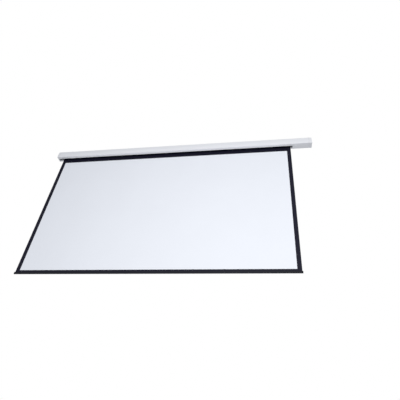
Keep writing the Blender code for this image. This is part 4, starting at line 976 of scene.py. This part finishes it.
def corners_along(node, axis):
    """Where a solid with square corners has them along an axis, in order."""
    return sorted({round(vertex.co[axis], 5) for vertex in nodes[node].data.vertices})


def wave_depth(x, z):
    """How far the hanging cloth bows towards the room at a place."""
    share = (cloth_high.z - z) / CLOTH_DROP
    held = sin(pi * min(1, max(0, share))) ** HOLD
    return held * sum(depth * sin(2 * pi * x / length + start) for length, depth, start in WAVES)


PICTURE_HALF = corners_along("black_border", 0)[2]
PICTURE_FOOT, PICTURE_TOP = corners_along("black_border", 2)[1:3]
cloth_y = (cloth_low.y + cloth_high.y) / 2
print("picture", 2 * PICTURE_HALF, "by", PICTURE_TOP - PICTURE_FOOT)

# %% [markdown]
# A grid is the right start, because every vertex can be moved a little. It is made at the cloth's
# size in the cloth's plane, and cut along the edges of the border and the picture, so that the
# border can be taken from the same waves.

# %% Hang the cloth
ACROSS = 150
DOWN = 90


def flat_cloth(name):
    """A grid in the cloth's plane, cut along the edges of the border and the picture."""
    centre = (cloth_low + cloth_high) / 2
    bpy.ops.object.select_all(action="DESELECT")
    bpy.ops.mesh.primitive_grid_add(
        x_subdivisions=ACROSS,
        y_subdivisions=DOWN,
        size=1,
        location=centre,
        rotation=(pi / 2, 0, 0),
    )
    cloth = bpy.context.object
    cloth.name = cloth.data.name = name
    cloth.scale = (CLOTH_WIDTH, CLOTH_DROP, 1)
    bpy.ops.object.transform_apply(location=True, rotation=True, scale=True)
    bpy.ops.object.mode_set(mode="EDIT")
    for x in (-PICTURE_HALF, PICTURE_HALF):
        cut_along((x, 0, 0), (1, 0, 0))
    for z in (film_top, PICTURE_TOP, PICTURE_FOOT):
        cut_along((0, 0, z), (0, 0, 1))
    bpy.ops.object.mode_set(mode="OBJECT")
    return cloth


def bow(cloth):
    for vertex in cloth.data.vertices:
        vertex.co.y -= wave_depth(vertex.co.x, vertex.co.z)


picture = flat_cloth("picture_cloth")
bow(picture)
print("picture cloth:", len(picture.data.polygons), "faces before it has a thickness")

# %% [markdown]
# The border is black film on the cloth's front. It is a copy of the cloth without the faces
# inside the picture, and without those above the film's upper edge, moved a hair's breadth
# forwards.

# %% Lay the border on it
def in_picture(centre):
    inside = abs(centre.x) < PICTURE_HALF
    return inside and PICTURE_FOOT < centre.z < PICTURE_TOP


choose(picture)
bpy.ops.object.duplicate()
border = bpy.context.object
border.name = border.data.name = "border_film"
for face in border.data.polygons:
    face.select = in_picture(face.center) or face.center.z > film_top
bpy.ops.object.mode_set(mode="EDIT")
bpy.ops.mesh.delete(type="FACE")
bpy.ops.object.mode_set(mode="OBJECT")
for vertex in border.data.vertices:
    vertex.co.y -= CLOTH_THICKNESS / 2 + FILM_GAP
print("border:", len(border.data.polygons), "faces before it has a thickness")

# %% [markdown]
# Cloth and film are sheets without a thickness up to here, and a wall is put on each of them. The
# cloth's wall is laid half to either side and takes a second material at the back, because the
# back is black. The film's wall is all in front, on the cloth.

# %% Give both their thickness
def thicken(piece, thickness, offset, backing=0):
    """A wall on a sheet. With a backing, the wall's back and rim take the next material."""
    wall = piece.modifiers.new("wall", "SOLIDIFY")
    wall.thickness = thickness
    wall.offset = offset
    wall.material_offset = backing
    wall.material_offset_rim = backing
    apply_modifiers(piece)
    choose(piece)
    bpy.ops.object.shade_smooth_by_angle(angle=SHARP)


paint(picture, finishes["picture_cloth"], finishes["cloth_backing"])
paint(border, finishes["border_film"])
thicken(picture, CLOTH_THICKNESS, 0.0, 1)
thicken(border, FILM_THICKNESS, 1.0)
hang_on(picture, "screen_fabric")
hang_on(border, "black_border")
print("picture cloth faces:", len(picture.data.polygons), "border:", len(border.data.polygons))

# %% [markdown]
# A cloth can't be wound up in a rigid model. Here the picture cloth and the border each get a mesh
# of their own.

# %% Give the cloth meshes of its own
for piece, top in ((picture, cloth_high.z), (border, film_top)):
    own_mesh(piece)

# %% [markdown]
# One and a half turns of the cloth stay on the roller. The cloth hangs from the roller's back
# with its white side to the room, so on the roller the black back is outside. It is a strip that
# is wound in a spiral, starting where the tube's groove grips it.

# %% Wind the turns on the roller
tube_low, tube_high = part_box("roller_tube")
axis_y = (tube_low.y + tube_high.y) / 2
axis_z = (tube_low.z + tube_high.z) / 2
TURNS = 1.5
TURN_STEPS = 72
TURN_PITCH = 0.0008  # from one turn to the next
HANG_RADIUS = cloth_y - axis_y
GRIP_RADIUS = 0.0216  # in the tube's groove
WIDTH_STEPS = 24


def wound_line():
    """The strip's middle line, as offsets from the roller's axis towards the wall and up."""
    line = [(-GRIP_RADIUS, 0.0)]
    count = ceil(TURNS * TURN_STEPS)
    for i in range(count + 1):
        angle = TURNS * 2 * pi * (1 - i / count)
        radius = HANG_RADIUS - TURN_PITCH * angle / (2 * pi)
        line.append((radius * cos(angle), radius * sin(angle)))
    return line


def strip_along(name, line, centre):
    """A strip as wide as the cloth that follows a line of (y, z) offsets from a centre."""
    steps = len(line) - 1
    bpy.ops.object.select_all(action="DESELECT")
    bpy.ops.mesh.primitive_grid_add(x_subdivisions=WIDTH_STEPS, y_subdivisions=steps, size=1)
    strip = bpy.context.object
    strip.name = strip.data.name = name
    for vertex in strip.data.vertices:
        y, z = line[round((vertex.co.y + 0.5) * steps)]
        vertex.co = (vertex.co.x * CLOTH_WIDTH, centre[0] + y, centre[1] + z)
    return strip


def length_of(line):
    return sum(hypot(b[0] - a[0], b[1] - a[1]) for a, b in zip(line, line[1:]))


turns_line = wound_line()
turns = strip_along("wound_turns", turns_line, (axis_y, axis_z))
paint(turns, finishes["cloth_backing"], finishes["picture_cloth"])
thicken(turns, CLOTH_THICKNESS, 0.0, 1)
hang_on(turns, "fabric_turns")
print("length on the roller:", round(length_of(turns_line), 4))

# %% [markdown]
# The cloth's foot is looped round a steel rod inside the weight bar, so that it can't slip out of
# the bar's narrow mouth.

# %% Loop the hem
rod_low, rod_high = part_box("hem_rod")
rod_z = (rod_low.z + rod_high.z) / 2
bar_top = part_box("weight_bar")[1].z
ROD_RADIUS = (rod_high.z - rod_low.z) / 2
HEM_SLACK = 0.0003
HEM_SWEEP = radians(320)
HEM_STEPS = 40


def hem_line():
    """Down through the bar's mouth and round the rod, as offsets from the rod's centre."""
    radius = ROD_RADIUS + HEM_SLACK + CLOTH_THICKNESS / 2
    line = [(0.0, bar_top - rod_z)]
    for i in range(HEM_STEPS + 1):
        angle = pi / 2 - HEM_SWEEP * i / HEM_STEPS
        line.append((radius * cos(angle), radius * sin(angle)))
    return line


loop_line = hem_line()
hem = strip_along("bar_hem", loop_line, (cloth_y, rod_z))
paint(hem, finishes["cloth_backing"])
thicken(hem, CLOTH_THICKNESS, 0.0)
hang_on(hem, "fabric_hem")
print("length in the bar:", round(length_of(loop_line), 4))

# %% [markdown]
# All three are the one cloth.

print("declared:", picture.name, turns.name, hem.name)

# %% [markdown]
# The floor is plain and pale, far below the camera, and isn't part of the object. It is a sheet
# of lit white like a photographer's table, and it thins out into the white surround, so that no
# edge of it shows from any side. It throws no light back: the surround already does.

# %% The floor
FLOOR_Z = -3.6
FLOOR_SIDE = 30
FLOOR_FADE = 12  # metres from under the screen to where the floor is gone
FLOOR_FULL = 0.8  # share of the way in from there where it is whole
FLOOR_WHITE = (0.18, 0.18, 0.183)
FLOOR_GLOW = 0.74


def add_floor():
    bpy.ops.object.select_all(action="DESELECT")
    bpy.ops.mesh.primitive_plane_add(size=FLOOR_SIDE, location=(0, 0, FLOOR_Z))
    floor = bpy.context.object
    floor.name = "studio_floor"
    bpy.ops.object.transform_apply(location=True, rotation=True, scale=True)
    finish = new_finish(
        "floor_paint",
        FLOOR_WHITE,
        0.9,
        Emission_Color=(1, 1, 1, 1),
        Emission_Strength=FLOOR_GLOW,
        Specular_IOR_Level=0.0,
    )
    tint(finish, noise(finish, 1.2), around(FLOOR_WHITE, -0.01), around(FLOOR_WHITE, 0.01))
    fade = node_of(finish, "ShaderNodeTexGradient")
    fade.gradient_type = "SPHERICAL"
    place = place_of(finish, (1 / FLOOR_FADE,) * 3, (0, 0, FLOOR_Z))
    join(finish, place, fade.inputs["Vector"])
    cover = spread(finish, fade.outputs["Fac"], 0, 1, 0, FLOOR_FULL)
    join(finish, cover, shader_of(finish).inputs["Alpha"])
    paint(floor, finish)
    floor.visible_diffuse = False
    floor.visible_glossy = False
    print("floor at", FLOOR_Z)


add_floor()
